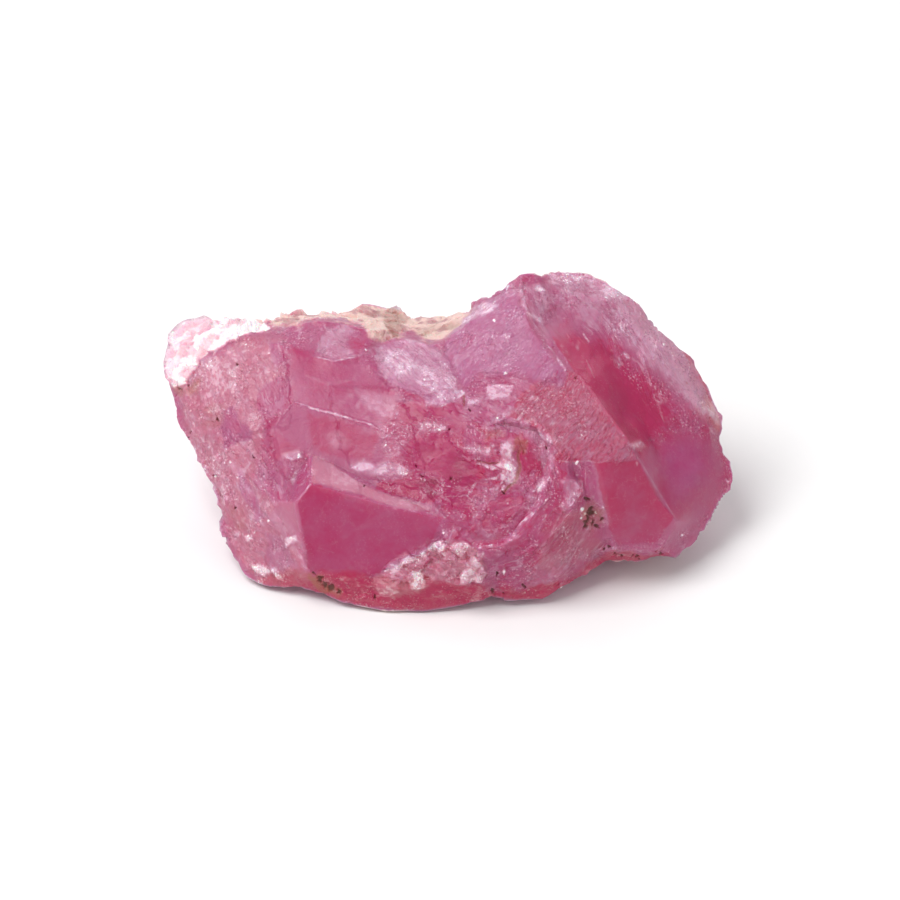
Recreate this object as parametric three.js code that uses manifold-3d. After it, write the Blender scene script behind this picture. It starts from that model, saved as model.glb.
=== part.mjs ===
// A raw lump of cobaltoan calcite, about 34 mm long, as it was broken from its vein.
//
// The lump is one solid. Its show face is a patchwork of cleavage faces, steps and shell-shaped
// breaks that leans back by LEAN. It is laid out in a face frame: "along" runs right along the
// stone, "up" climbs the leaning face and "out" comes out of it. The back is broken off in
// cleavage planes, and a flat break underneath is what the stone rests on.
//
// Millimetres, +X along the stone, +Y to its back, +Z up. The origin is on the ground, under
// the middle of the stone's box.

import * as THREE from 'three';
import { ConvexHull } from 'three/addons/math/ConvexHull.js';
import { ImprovedNoise } from 'three/addons/math/ImprovedNoise.js';
import { TessellateModifier } from 'three/addons/modifiers/TessellateModifier.js';
import { mergeVertices } from 'three/addons/utils/BufferGeometryUtils.js';
import Module from 'manifold-3d';

// ---------------------------------------------------------------- driving dimensions

const LEAN = THREE.MathUtils.degToRad(35);  // the show face leans back from upright by this
const FACE_HEIGHT = 8.4;                    // ground to the middle of the show face
const RIDGE_STEP = 0.7;                     // spacing of the points along a ridge
const FILL_STEP = 0.95;                     // spacing of the points that fill a facet
const BACK_STEP = 1.7;                      // the same on the back
const EDGE_LIMIT = 1.4;                     // no triangle edge is longer
const HALF_SPAN = 20;                       // all of the face is nearer to its middle than this
const FILL_CLEARANCE = 0.62;                // filling points keep this share of a step clear
const RELIEF_FADE = 1.5;                    // the relief starts this far above the ground
const BUMP_SIZE = 2.6;                      // width of the larger bumps
const FINE_BUMP_SIZE = 1.1;                 // and of the smaller ones
const SPLIT_ROUNDS = 12;
const FLATTEN_ROUNDS = 6;
const RELAX_ROUNDS = 60;
const FACET_RELIEF = 0.03;                  // waviness of a clean cleavage face
const BREAK_RELIEF = 0.22;                  // roughness of a broken surface
const CRUST_RELIEF = 0.45;                  // roughness of the grainy rock on the back
const FACE_TURN = 0.15;                     // the show face looks at least this much out
const SPLIT_TURN = 0.985;                   // and a cleavage face this much its plane's way

const PINK = 0xbf6088;

// ---------------------------------------------------------------- the show face
// Every corner is [along, up, out] in the face frame.

const outline = [
  [-17.2, 4.8, -6.5], [-16.9, 6.4, -7.5], [-16.1, 7.3, -8.0], [-14.8, 7.7, -8.0],
  [-12.6, 7.4, -7.0], [-11.2, 7.1, -6.0], [-9.6, 7.4, -6.5], [-8.0, 7.7, -7.5],
  [-6.2, 7.9, -8.5], [-4.2, 8.1, -9.0], [-3.2, 8.2, -9.5], [-2.3, 7.3, -9.0],
  [-0.6, 7.5, -8.5], [1.1, 7.9, -7.5], [2.2, 8.6, -5.5], [3.5, 9.6, -4.5],
  [4.3, 9.9, -4.2], [5.5, 9.7, -4.8], [6.4, 10.1, -6.0], [8.4, 9.9, -6.5],
  [9.7, 9.4, -6.2], [11.3, 8.1, -5.8], [12.4, 7.0, -5.6], [14.2, 4.9, -5.4],
  [15.5, 3.1, -5.4], [16.4, 1.3, -5.6], [16.3, 0.2, -5.2], [16.9, -1.0, -5.4],
  [17.0, -2.4, -5.0], [16.6, -3.4, -4.6], [15.7, -4.7, -3.8], [14.4, -6.4, -3.0],
  [13.5, -7.0, -2.6], [11.7, -7.1, -2.2], [9.3, -7.3, -1.6], [8.3, -7.8, -1.2],
  [7.0, -8.6, -0.8], [5.5, -9.4, -0.4], [3.8, -9.5, -0.2], [2.5, -9.2, 0.0],
  [0.4, -9.8, 0.1], [-1.5, -10.1, 0.1], [-3.9, -10.1, 0.1], [-5.5, -9.8, -0.1],
  [-6.8, -9.4, -0.3], [-8.8, -8.7, -0.8], [-10.8, -8.7, -1.6], [-12.0, -8.2, -2.2],
  [-13.4, -6.4, -3.2], [-13.7, -4.8, -3.6], [-13.9, -3.5, -3.8], [-14.7, -2.0, -4.2],
  [-15.7, 0.2, -4.8], [-16.4, 2.1, -5.2], [-16.9, 3.5, -5.8],
];

const corners = {
  // the crusted rim along the top, from the left tip to the right peak
  rim1: [-16.4, 3.4, -4.6], rim2: [-15.2, 4.7, -4.2], rim3: [-14.4, 5.6, -4.4],
  rim4: [-13.1, 6.2, -4.2], rim5: [-11.7, 6.5, -4.0], rim6: [-10.1, 6.5, -4.0],
  rim7: [-8.6, 7.0, -4.2], rim8: [-7.2, 7.1, -4.2], rim9: [-5.8, 6.9, -4.2],
  rim10: [-4.7, 6.5, -4.0], rim11: [-4.1, 5.8, -3.6], rim12: [-2.7, 6.0, -3.6],
  rim13: [-1.6, 5.8, -3.4], rim14: [-0.7, 5.5, -3.0], rim15: [0.5, 6.7, -3.2],
  rim16: [1.7, 7.4, -3.4],
  // the saddle of pale rock behind the rim
  saddle1: [-3.0, 7.1, -7.0], saddle2: [-6.0, 7.4, -6.5], saddle3: [-1.2, 6.6, -6.0],
  // the left end
  left1: [-13.7, 5.3, -3.2], left2: [-10.8, 5.9, -3.0], left3: [-9.7, 5.6, -2.8],
  left4: [-9.5, 4.4, -2.2], left5: [-9.4, 2.3, -1.0], left6: [-10.4, 1.0, -1.4],
  left7: [-11.4, 2.6, -2.0], left8: [-11.6, 4.7, -2.4], left9: [-13.7, 2.7, -2.8],
  left10: [-15.5, 2.4, -4.0], left11: [-13.6, -0.3, -2.6], left12: [-11.6, -0.1, -1.6],
  left13: [-11.1, -1.6, -1.4], left14: [-14.7, 0.0, -3.6], left15: [-12.5, -2.4, -2.0],
  left16: [-13.2, -3.9, -2.8], left18: [-12.1, -5.8, -2.2],
  left19: [-11.0, -6.0, -1.2], left20: [-11.3, -7.6, -1.6], left21: [-10.0, -7.9, -1.0],
  // the top middle, with the hollow under the rim
  top1: [-8.0, 6.1, -3.4], top2: [-8.0, 4.9, -2.4], top3: [-7.0, 4.7, -2.2],
  top4: [-5.3, 5.1, -2.4], top5: [-3.9, 3.8, -1.4], top6: [-3.0, 5.3, -2.4],
  top7: [0.1, 4.2, -1.4], top8: [0.7, 2.6, -0.6], top9: [-0.3, 2.0, -0.4],
  top10: [-1.3, 2.1, -0.8], top11: [-3.5, 2.3, -1.2],
  // the broad middle faces and the thin line between them
  face1: [-4.3, 0.6, -0.6], face2: [-10.0, -0.7, -1.2], face3: [-8.3, -0.8, -0.6],
  face4: [-6.4, -1.6, -0.2], face5: [-5.1, -2.3, 0.0], face6: [-2.1, -3.7, 0.6],
  face7: [-0.4, -4.7, 1.5],
  // the block that stands out under the ledge
  block1: [-8.3, -2.6, 1.4], block2: [-6.4, -3.1, 1.45], block3: [-3.9, -3.8, 1.5],
  block4: [-2.1, -4.2, 1.5], block5: [-9.2, -3.7, 1.2], block6: [-8.8, -5.7, 0.9],
  block8: [-8.5, -7.8, 0.6], block9: [-10.1, -3.6, 0.1], block10: [-9.9, -5.9, -0.4],
  block11: [-9.3, -2.4, -0.4], block12: [-11.1, -4.7, -1.1],
  // the foot of the face
  foot1: [-6.4, -8.2, 0.7], foot2: [-4.1, -7.9, 0.9], foot3: [-3.3, -7.2, 1.1],
  foot4: [-1.4, -6.5, 1.2], foot5: [-0.5, -5.8, 1.3],
  knob1: [-0.5, -6.2, 1.9], knob2: [1.0, -6.2, 2.0], knob3: [1.7, -7.0, 2.0],
  knob4: [2.2, -8.0, 1.4], knob5: [0.7, -8.5, 1.4], knob6: [-1.8, -8.6, 1.4],
  knob7: [-3.1, -8.1, 1.4],
  // the middle, which stands out furthest
  mid1: [-1.2, 0.6, -0.2], mid2: [0.3, 0.9, 0.0], mid3: [2.2, 2.1, 0.4],
  mid4: [3.9, 3.3, 0.4], mid5: [2.1, 3.3, 0.0], mid6: [0.8, -0.6, 0.4],
  mid7: [3.0, -1.8, 1.4], mid8: [2.4, 0.0, 1.2], mid9: [1.2, -3.0, 0.8],
  mid10: [4.2, 0.0, 1.8], mid18: [3.9, -8.4, 1.0], mid19: [6.3, -8.1, 0.8],
  // the right peak and the ridge that runs down from it
  peak1: [1.8, 6.0, -2.0], peak2: [3.0, 7.4, -2.6],
  ridge1: [4.3, 8.4, -3.0], ridge2: [4.6, 7.1, -2.0], ridge3: [6.0, 4.9, -0.6],
  ridge4: [7.6, 3.7, 0.4], ridge5: [8.2, 3.4, 0.6], ridge6: [9.2, 1.8, 1.2],
  ridge7: [10.6, -0.1, 1.2], ridge8: [11.3, -1.6, 0.8], ridge9: [12.7, -4.0, 0.0],
  ridge10: [13.4, -4.8, -0.6], ridge11: [9.2, -3.2, 1.6], ridge12: [9.0, -1.3, 1.8],
  ridge13: [9.4, -4.6, 1.0], ridge14: [9.7, -6.4, 0.2], ridge15: [12.6, -6.4, -0.8],
  pit: [8.4, -4.2, 1.1],
  // the dark scoop right of the ridge and the thin right rim
  scoop1: [6.2, 7.3, -3.4], scoop2: [8.6, 6.0, -3.4], scoop3: [10.0, 4.9, -3.2],
  scoop4: [11.9, 3.6, -3.4], scoop5: [13.4, 2.0, -3.4], scoop6: [11.5, 1.2, -2.0],
  scoop7: [12.3, -0.6, -1.6], scoop8: [14.4, -1.8, -2.6], scoop9: [14.0, -3.9, -1.8],
  scoop10: [9.0, 8.4, -4.6], scoop11: [6.6, 8.9, -4.4], scoop12: [12.9, 5.4, -4.4],
  scoop13: [15.0, 2.4, -4.2], scoop14: [15.7, 0.0, -4.2], scoop15: [15.7, -2.4, -3.6],
  scoop16: [14.7, -4.8, -2.8],
};

// Clean cleavage faces. The corners of each are brought into one plane.
const facets = {
  leftShoulder: 'left3 left2 left8 left7 left6 left5 left4',
  upperFace: 'left3 left4 left5 face1 top11 top5 top4 top3 top2',
  middleFace: 'left5 left6 face2 face3 face4 face5 face1',
  ledge: 'face3 face4 face5 face6 face7 block4 block3 block2 block1',
  blockFront: 'block1 block2 block3 block4 face7 foot5 foot4 foot3 foot2 foot1 block8 block6 block5',
  blockWall: 'block1 face3 block11 block5',
  blockSide: 'block5 block9 block12 block10 block8 block6',
  paleFace: 'rim14 top7 top8 top9 top10 top5 top6 rim12 rim13',
  leftFace: 'left12 left6 face2 left13 left11',
  hollow: 'top1 rim7 rim8 rim9 rim10 top4 top3 top2',
};

// Other ridges and valleys.
const ridges = [
  'rim1 rim2 rim3 rim4 rim5 rim6 rim7 rim8 rim9 rim10 rim11 rim12 rim13 rim14 rim15 rim16 ridge1',
  'rim4 left1 left8 left2 rim6', 'left1 left9 left11 left15 left19 left21 block8',
  'rim1 left10 left14 left16 left18 left20', 'left12 left7', 'left13 block11', 'face2 block11',
  'block12 left15', 'block10 left19', 'left10 left9',
  'saddle2 saddle1 saddle3',
  'mid1 mid2 mid3 mid4 ridge4', 'mid5 mid3', 'top8 mid5 mid4', 'mid1 mid6 mid9 face7',
  'mid2 mid8 mid10', 'mid6 mid7', 'mid8 mid7',
  'peak1 peak2 rim16', 'peak1 rim14', 'peak1 top7',
  'knob1 knob2 knob3 knob4 knob5 knob6 knob7 foot3', 'foot5 knob1', 'foot2 knob7',
  'ridge1 ridge2 ridge3 ridge4 ridge5 ridge6 ridge7 ridge8 ridge9 ridge10',
  'ridge12 ridge11 ridge13 ridge14', 'ridge12 ridge7', 'ridge14 ridge15 ridge10',
  'ridge2 scoop1 scoop2 scoop3 scoop4 scoop5', 'ridge5 scoop6 scoop7', 'scoop5 scoop14',
  'scoop6 scoop5', 'scoop7 scoop8 scoop9', 'ridge1 scoop11 scoop10 scoop12 scoop13 scoop14',
  'scoop14 scoop15 scoop16 scoop9 ridge10', 'mid18 mid19',
];

// Curved steps where the calcite broke like a shell, round one middle. Each has a crest, and a
// side that drops by "drop" over "width" towards the middle, or away from it if "width" is below
// zero.
const shellMiddle = [3.5, -1.6];
const shellSteps = [
  { drop: 0.6, width: 0.45, crest: [
    [5.9, -1.9, 2.4], [5.6, -2.9, 2.6], [5.2, -4.0, 2.6], [4.5, -4.9, 2.5],
    [3.9, -5.7, 2.4], [2.9, -6.3, 2.2], [1.7, -6.3, 2.1]] },
  { drop: 0.5, width: -0.4, crest: [
    [7.0, -2.0, 2.4], [7.7, -2.8, 2.3], [7.5, -3.7, 2.3], [6.8, -4.6, 2.3],
    [6.2, -5.4, 2.2], [5.6, -6.5, 1.9], [5.1, -7.4, 1.6]] },
  { drop: 0.35, width: 0.35, crest: [
    [6.3, -0.7, 2.3], [6.0, 0.1, 2.2], [5.3, 0.8, 2.0], [4.2, 1.1, 1.6], [3.2, 1.3, 1.1]] },
];

// ---------------------------------------------------------------- the back and the underside

const backCorners = [
  [-12.0, 4.5, -11.0], [-13.0, 1.0, -10.0], [-7.0, 5.5, -12.6], [-8.0, 1.0, -14.0],
  [-1.0, 5.0, -13.2], [0.0, 1.0, -15.0], [6.0, 6.0, -11.6], [7.0, 1.5, -14.2],
  [12.0, 3.5, -9.9], [13.5, -0.5, -9.5],
  [-9.0, -7.0, -5.7], [-10.0, -3.0, -11.3], [9.0, -6.5, -6.4], [0.0, -6.0, -7.2],
];

// Calcite splits along three planes at 75 degrees to each other. Their normals stand round one
// axis of the crystal; the first of them looks straight back.
const NORMAL_TO_AXIS = Math.acos(Math.sqrt((Math.cos(THREE.MathUtils.degToRad(75)) + 0.5) / 1.5));
const BACK_DIP = THREE.MathUtils.degToRad(6);

function cleavageNormal(turn) {
  const spin = THREE.MathUtils.degToRad(turn);
  const fromAxis = new THREE.Vector3(
    Math.sin(NORMAL_TO_AXIS) * Math.sin(spin),
    Math.cos(NORMAL_TO_AXIS),
    Math.sin(NORMAL_TO_AXIS) * Math.cos(spin),
  );
  return fromAxis.applyAxisAngle(new THREE.Vector3(1, 0, 0), -NORMAL_TO_AXIS - BACK_DIP);
}

const cleavage = {
  back: cleavageNormal(0),
  underRight: cleavageNormal(120),
  underLeft: cleavageNormal(240),
};

// Pieces broken off the back: each lies past all the planes named, which are so many
// millimetres from the origin.
const breaks = [
  { back: 12.4 },
  { back: 11.2, underRight: 3.4 },
  { back: 10.6, underLeft: 4.6 },
  { back: 8.6, underLeft: 6.4 },
  { underRight: 8.3 },
];

// ---------------------------------------------------------------- nets of triangles

const key = ([along, up]) => `${along.toFixed(3)} ${up.toFixed(3)}`;

// Points along a line of corners, no further apart than the step.
function walk(line, step, closed = false) {
  const ends = closed ? [...line, line[0]] : line;
  const points = [];
  for (let i = 1; i < ends.length; i += 1) {
    const from = new THREE.Vector3(...ends[i - 1]);
    const to = new THREE.Vector3(...ends[i]);
    const flatLength = Math.hypot(to.x - from.x, to.y - from.y);
    const parts = Math.max(1, Math.ceil(flatLength / step));
    for (let k = 0; k < parts; k += 1) points.push(from.clone().lerp(to, k / parts).toArray());
  }
  if (!closed) points.push([...line.at(-1)]);
  return points;
}

// Bring the named corners into the plane that fits them best.
function flatten(names) {
  const group = names.map((name) => corners[name]);
  const sums = new THREE.Matrix3();
  const right = new THREE.Vector3();
  const rows = [0, 0, 0, 0, 0, 0, 0, 0, 0];
  for (const [along, up, out] of group) {
    const row = [1, along, up];
    row.forEach((a, i) => row.forEach((b, j) => { rows[3 * i + j] += a * b; }));
    right.add(new THREE.Vector3(...row).multiplyScalar(out));
  }
  sums.set(...rows).invert();
  const [base, slopeAlong, slopeUp] = right.applyMatrix3(sums).toArray();
  for (const corner of group) corner[2] = base + slopeAlong * corner[0] + slopeUp * corner[1];
}

// The Delaunay triangles of points in the face's plane: the underside of the hull of the
// points lifted onto a bowl.
function delaunay(points) {
  const lifted = points.map(([x, y]) => new THREE.Vector3(x, y, x * x + y * y));
  const indexOf = new Map(lifted.map((point, i) => [point, i]));
  const hull = new ConvexHull().setFromPoints(lifted);
  return hull.faces
    .filter((face) => face.normal.z < -1e-9)
    .map((face) => [2, 1, 0].map((i) => indexOf.get(face.getEdge(i).head().point)));
}

function isInside(border, x, y) {
  let inside = false;
  border.forEach(([x1, y1], i) => {
    const [x2, y2] = border.at(i - 1);
    if ((y1 > y) !== (y2 > y) && x < ((x2 - x1) * (y - y1)) / (y2 - y1) + x1) inside = !inside;
  });
  return inside;
}

function makeNet(border, inner) {
  const unique = new Map([...border, ...inner].map((point) => [key(point), point]));
  const points = [...unique.values()];
  const triangles = delaunay(points).filter((triangle) => {
    const x = triangle.reduce((sum, i) => sum + points[i][0] / 3, 0);
    const y = triangle.reduce((sum, i) => sum + points[i][1] / 3, 0);
    return isInside(border, x, y);
  });
  return { points, triangles };
}

// How far out the net lies at a place, or null where it has no triangle.
function outAt(net, x, y) {
  for (const [a, b, c] of net.triangles) {
    const [[ax, ay, az], [bx, by, bz], [cx, cy, cz]] = [net.points[a], net.points[b], net.points[c]];
    const area = (bx - ax) * (cy - ay) - (cx - ax) * (by - ay);
    const partB = ((x - ax) * (cy - ay) - (cx - ax) * (y - ay)) / area;
    const partC = ((bx - ax) * (y - ay) - (x - ax) * (by - ay)) / area;
    if (partB >= 0 && partC >= 0 && partB + partC <= 1) {
      return az + partB * (bz - az) + partC * (cz - az);
    }
  }
  return null;
}

// Extra points in rows across the net, clear of those that it has, so that its triangles are
// well shaped.
function fill(net, border, step) {
  const extra = [];
  const rowHeight = step * Math.sqrt(0.75);
  const reach = Math.ceil(HALF_SPAN / step);
  for (let row = -reach; row <= reach; row += 1) {
    for (let column = -reach - 1; column <= reach; column += 1) {
      const x = (column + (row % 2) / 2) * step;
      const y = row * rowHeight;
      const clear = net.points.every(([px, py]) => Math.hypot(px - x, py - y) > step * FILL_CLEARANCE);
      const out = clear && isInside(border, x, y) ? outAt(net, x, y) : null;
      if (out !== null) extra.push([x, y, out]);
    }
  }
  return makeNet(border, [...net.points, ...extra]);
}

// Let the filling points sink or rise to the mean of their neighbours, so that the stretches
// between ridges are flat or gently curved.
function relax(net, isFixed, rounds) {
  const neighbours = net.points.map(() => new Set());
  for (const triangle of net.triangles) {
    for (const i of triangle) triangle.forEach((j) => { if (j !== i) neighbours[i].add(j); });
  }
  const free = net.points.map((point, i) => i).filter((i) => !isFixed(net.points[i]));
  for (let round = 0; round < rounds; round += 1) {
    for (const i of free) {
      const point = net.points[i];
      let total = 0;
      let weights = 0;
      for (const j of neighbours[i]) {
        const other = net.points[j];
        const weight = 1 / Math.hypot(other[0] - point[0], other[1] - point[1]);
        total += weight * other[2];
        weights += weight;
      }
      point[2] = total / weights;
    }
  }
}

// ---------------------------------------------------------------- the closed lump

function closedGeometry(front, back) {
  const positions = [];
  for (const triangle of front.triangles) {
    for (const i of triangle) positions.push(...front.points[i]);
  }
  for (const triangle of back.triangles) {
    for (const i of [...triangle].reverse()) positions.push(...back.points[i]);
  }
  const geometry = new THREE.BufferGeometry();
  geometry.setAttribute('position', new THREE.Float32BufferAttribute(positions, 3));
  return geometry;
}

const faceToStone = new THREE.Matrix4().makeBasis(
  new THREE.Vector3(1, 0, 0),
  new THREE.Vector3(0, Math.sin(LEAN), Math.cos(LEAN)),
  new THREE.Vector3(0, -Math.cos(LEAN), Math.sin(LEAN)),
).setPosition(0, 0, FACE_HEIGHT);

const stoneToFace = faceToStone.clone().invert();

const wasm = await Module();
wasm.setup();

function toSolid(geometry) {
  const bare = geometry.clone();
  bare.deleteAttribute('normal');
  bare.deleteAttribute('uv');
  const merged = mergeVertices(bare, 1e-4);
  const vertProperties = Float32Array.from(merged.attributes.position.array);
  const triVerts = Uint32Array.from(merged.index.array);
  return new wasm.Manifold(new wasm.Mesh({ numProp: 3, vertProperties, triVerts }));
}

function toGeometry(solid) {
  const { vertProperties, triVerts } = solid.getMesh();
  const geometry = new THREE.BufferGeometry();
  geometry.setAttribute('position', new THREE.Float32BufferAttribute(vertProperties, 3));
  geometry.setIndex([...triVerts]);
  return geometry;
}

// ---------------------------------------------------------------- relief

function splitEdges(geometry) {
  const split = new TessellateModifier(EDGE_LIMIT, SPLIT_ROUNDS).modify(geometry.toNonIndexed());
  const merged = mergeVertices(split, 1e-4);
  merged.computeVertexNormals();
  return merged;
}

// Bumps of two sizes, from -1 to 1 or a little less.
const noise = new ImprovedNoise();
function bumps({ x, y, z }) {
  const coarse = noise.noise(x / BUMP_SIZE, y / BUMP_SIZE, z / BUMP_SIZE);
  const size = FINE_BUMP_SIZE;
  return coarse + 0.5 * noise.noise(x / size + 31, y / size + 17, z / size + 53);
}

// How rough the stone is where a point lies.
function roughnessAt(point, normal) {
  const facePoint = point.clone().applyMatrix4(stoneToFace);
  const isOnFace = normal.clone().transformDirection(stoneToFace).z > FACE_TURN;
  if (isOnFace) {
    const isClean = Object.values(facets).some((names) => (
      isInside(names.split(' ').map((name) => corners[name]), facePoint.x, facePoint.y)));
    return isClean ? FACET_RELIEF : BREAK_RELIEF;
  }
  const isSplit = Object.values(cleavage).some((direction) => direction.dot(normal) > SPLIT_TURN);
  return isSplit ? FACET_RELIEF : CRUST_RELIEF;
}

// Push every corner in or out a little, but not those of the flat break that it rests on.
function roughen(geometry) {
  const { position, normal } = geometry.attributes;
  for (let i = 0; i < position.count; i += 1) {
    const point = new THREE.Vector3().fromBufferAttribute(position, i);
    const out = new THREE.Vector3().fromBufferAttribute(normal, i);
    const offGround = THREE.MathUtils.smoothstep(point.z, 0, RELIEF_FADE);
    point.addScaledVector(out, offGround * roughnessAt(point, out) * bumps(point));
    position.setXYZ(i, point.x, point.y, point.z);
  }
  return geometry;
}

// ---------------------------------------------------------------- breaking and cutting

// A block that covers everything further along a direction than the distance given.
function pastPlane(normal, distance) {
  const size = 90;
  const block = new THREE.BoxGeometry(size, size, size).translate(0, 0, distance + size / 2);
  const turn = new THREE.Quaternion().setFromUnitVectors(new THREE.Vector3(0, 0, 1), normal);
  return toSolid(block.applyQuaternion(turn));
}

function breakOff(solid, planes) {
  const blocks = Object.entries(planes).map(([name, distance]) => pastPlane(cleavage[name], distance));
  return solid.subtract(blocks.reduce((piece, block) => piece.intersect(block)));
}

// The foot of a curved step, beside its crest.
function footOf({ crest, drop, width }) {
  return crest.map(([along, up, out]) => {
    const inward = new THREE.Vector2(shellMiddle[0] - along, shellMiddle[1] - up).setLength(width);
    return [along + inward.x, up + inward.y, out - drop];
  });
}

function buildFront(border) {
  for (let round = 0; round < FLATTEN_ROUNDS; round += 1) {
    for (const names of Object.values(facets)) flatten(names.split(' '));
  }
  const named = (line) => line.split(' ').map((name) => corners[name]);
  const lines = [
    ...Object.values(facets).map((names) => walk(named(names), RIDGE_STEP, true)),
    ...ridges.map((names) => walk(named(names), RIDGE_STEP)),
    ...shellSteps.flatMap((step) => [walk(step.crest, RIDGE_STEP), walk(footOf(step), RIDGE_STEP)]),
    [corners.pit],
  ];
  const coarse = makeNet(border, lines.flat());
  const held = new Set(coarse.points.map(key));
  const net = fill(coarse, border, FILL_STEP);
  relax(net, (point) => held.has(key(point)), RELAX_ROUNDS);
  return net;
}

const border = walk(outline, RIDGE_STEP, true);
const front = buildFront(border);
const back = fill(makeNet(border, backCorners), border, BACK_STEP);
const lump = closedGeometry(front, back).applyMatrix4(faceToStone);
const broken = breaks.reduce(breakOff, toSolid(lump));
const grounded = broken.subtract(pastPlane(new THREE.Vector3(0, 0, -1), 0));
const geometry = roughen(splitEdges(toGeometry(grounded)));
geometry.computeBoundingBox();
const { min, max } = geometry.boundingBox;
geometry.translate(-(min.x + max.x) / 2, -(min.y + max.y) / 2, -min.z);

const calcite = new THREE.Mesh(
  geometry,
  new THREE.MeshStandardMaterial({ color: PINK, roughness: 0.35, metalness: 0 }),
);
calcite.name = 'cobaltoan_calcite';

const stone = new THREE.Group();
stone.add(calcite);
export default stone;
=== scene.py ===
"""Raw cobaltoan calcite: a fine surface and its finish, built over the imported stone.

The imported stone's faces are made crisp, split finely and worked over with the small forms that
broken calcite has: flakes, the arcs of a shell-shaped break, frosted bruises, a grainy crust.
Lengths are in millimetres until the mesh is made. Places on the show face are given as pixels
of a 900 by 900 picture, seen by the camera below.
"""
import math
from collections import namedtuple

import bpy
import numpy as np
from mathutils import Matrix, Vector


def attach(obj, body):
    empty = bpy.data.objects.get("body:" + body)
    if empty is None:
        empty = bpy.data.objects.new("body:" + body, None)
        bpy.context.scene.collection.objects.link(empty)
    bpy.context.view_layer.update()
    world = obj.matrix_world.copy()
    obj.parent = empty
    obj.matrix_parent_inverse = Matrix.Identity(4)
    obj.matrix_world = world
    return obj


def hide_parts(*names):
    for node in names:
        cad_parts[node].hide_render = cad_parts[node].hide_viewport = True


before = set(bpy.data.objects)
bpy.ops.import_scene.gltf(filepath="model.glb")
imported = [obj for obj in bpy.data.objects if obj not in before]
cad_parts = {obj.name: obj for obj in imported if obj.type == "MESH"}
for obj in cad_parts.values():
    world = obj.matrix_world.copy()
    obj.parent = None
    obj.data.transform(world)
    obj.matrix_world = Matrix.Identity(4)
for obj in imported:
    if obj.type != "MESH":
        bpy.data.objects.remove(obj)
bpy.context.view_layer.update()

MM = 0.001

# ------------------------------------------------------------------ the camera's geometry

PICTURE = 900                       # pixels across the picture
PIXEL = 0.06                        # millimetres across a pixel, at the stone
LEAN = math.radians(35)             # the show face leans back, and the camera looks down, by this
CAMERA_AWAY = 500.0
STONE_IN_PICTURE = {"left": 164, "right": 733, "top": 272, "bottom": 610}
AIM_ROUNDS = 4

ALONG = np.array([1.0, 0.0, 0.0])
UP = np.array([0.0, math.sin(LEAN), math.cos(LEAN)])
OUT = np.array([0.0, -math.cos(LEAN), math.sin(LEAN)])
FACE_AXES = np.stack([ALONG, UP, OUT], axis=1)


def seen_at(points, centre):
    """Where the camera sees each point, in pixels, when it looks straight at the centre."""
    along, up, out = ((points - centre) @ FACE_AXES).T
    scale = CAMERA_AWAY / (CAMERA_AWAY - out) / PIXEL
    return np.stack([PICTURE / 2 + along * scale, PICTURE / 2 - up * scale], axis=1)


def aim(points):
    """The point to look at, for the stone to fill its place in the picture."""
    place = STONE_IN_PICTURE
    wanted = np.array([place["left"] + place["right"], place["top"] + place["bottom"]]) / 2
    centre = points.mean(axis=0)
    for _ in range(AIM_ROUNDS):
        seen = seen_at(points, centre)
        shift = (seen.min(axis=0) + seen.max(axis=0)) / 2 - wanted
        centre = centre + PIXEL * (shift[0] * ALONG - shift[1] * UP)
    return centre


# ------------------------------------------------------------------ mesh tools

MERGE_DECIMALS = 4                  # points that agree to this many decimals are one
NOTHING = 1e-12                     # a length too short to divide by
ON_GROUND = 0.01                    # points below this height stay where they are


def read_mesh(thing):
    """A node's points in millimetres, merged, and its triangles."""
    mesh = thing.data
    mesh.calc_loop_triangles()
    points = np.empty(len(mesh.vertices) * 3)
    mesh.vertices.foreach_get("co", points)
    points = points.reshape(-1, 3) @ np.array(thing.matrix_world.to_3x3()).T / MM
    faces = np.empty(len(mesh.loop_triangles) * 3, dtype=np.int64)
    mesh.loop_triangles.foreach_get("vertices", faces)
    merged, place = np.unique(np.round(points, MERGE_DECIMALS), axis=0, return_inverse=True)
    faces = place.reshape(-1)[faces].reshape(-1, 3)
    a, b, c = faces.T
    return merged, faces[(a != b) & (b != c) & (c != a)]


def edges_of(faces):
    """Each face's three edges as sorted pairs, the edges of side 0 first."""
    return np.sort(np.vstack([faces[:, [0, 1]], faces[:, [1, 2]], faces[:, [2, 0]]]), axis=1)


def face_normals(points, faces):
    """Unit normals and areas."""
    a, b, c = points[faces[:, 0]], points[faces[:, 1]], points[faces[:, 2]]
    cross = np.cross(b - a, c - a)
    length = np.linalg.norm(cross, axis=1)
    return cross / np.maximum(length, NOTHING)[:, None], length / 2


def point_normals(points, faces):
    """Unit normals at the points, where large faces count for more."""
    normals, areas = face_normals(points, faces)
    total = gather(faces, (normals * areas[:, None])[:, None, :].repeat(3, axis=1), len(points))
    return total / np.maximum(np.linalg.norm(total, axis=1), NOTHING)[:, None]


def gather(faces, values, count):
    """Adds up, at each point, what its faces' corners say."""
    flat = faces.reshape(-1)
    parts = values.reshape(len(flat), -1)
    return np.stack([np.bincount(flat, part, minlength=count) for part in parts.T], axis=1)


def face_neighbours(faces):
    """The three faces that share an edge with each face."""
    edges = edges_of(faces)
    order = np.lexsort((edges[:, 1], edges[:, 0]))
    first, second = order[0::2], order[1::2]
    other = np.empty(len(edges), dtype=np.int64)
    other[first] = second % len(faces)
    other[second] = first % len(faces)
    return other.reshape(3, -1).T


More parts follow.
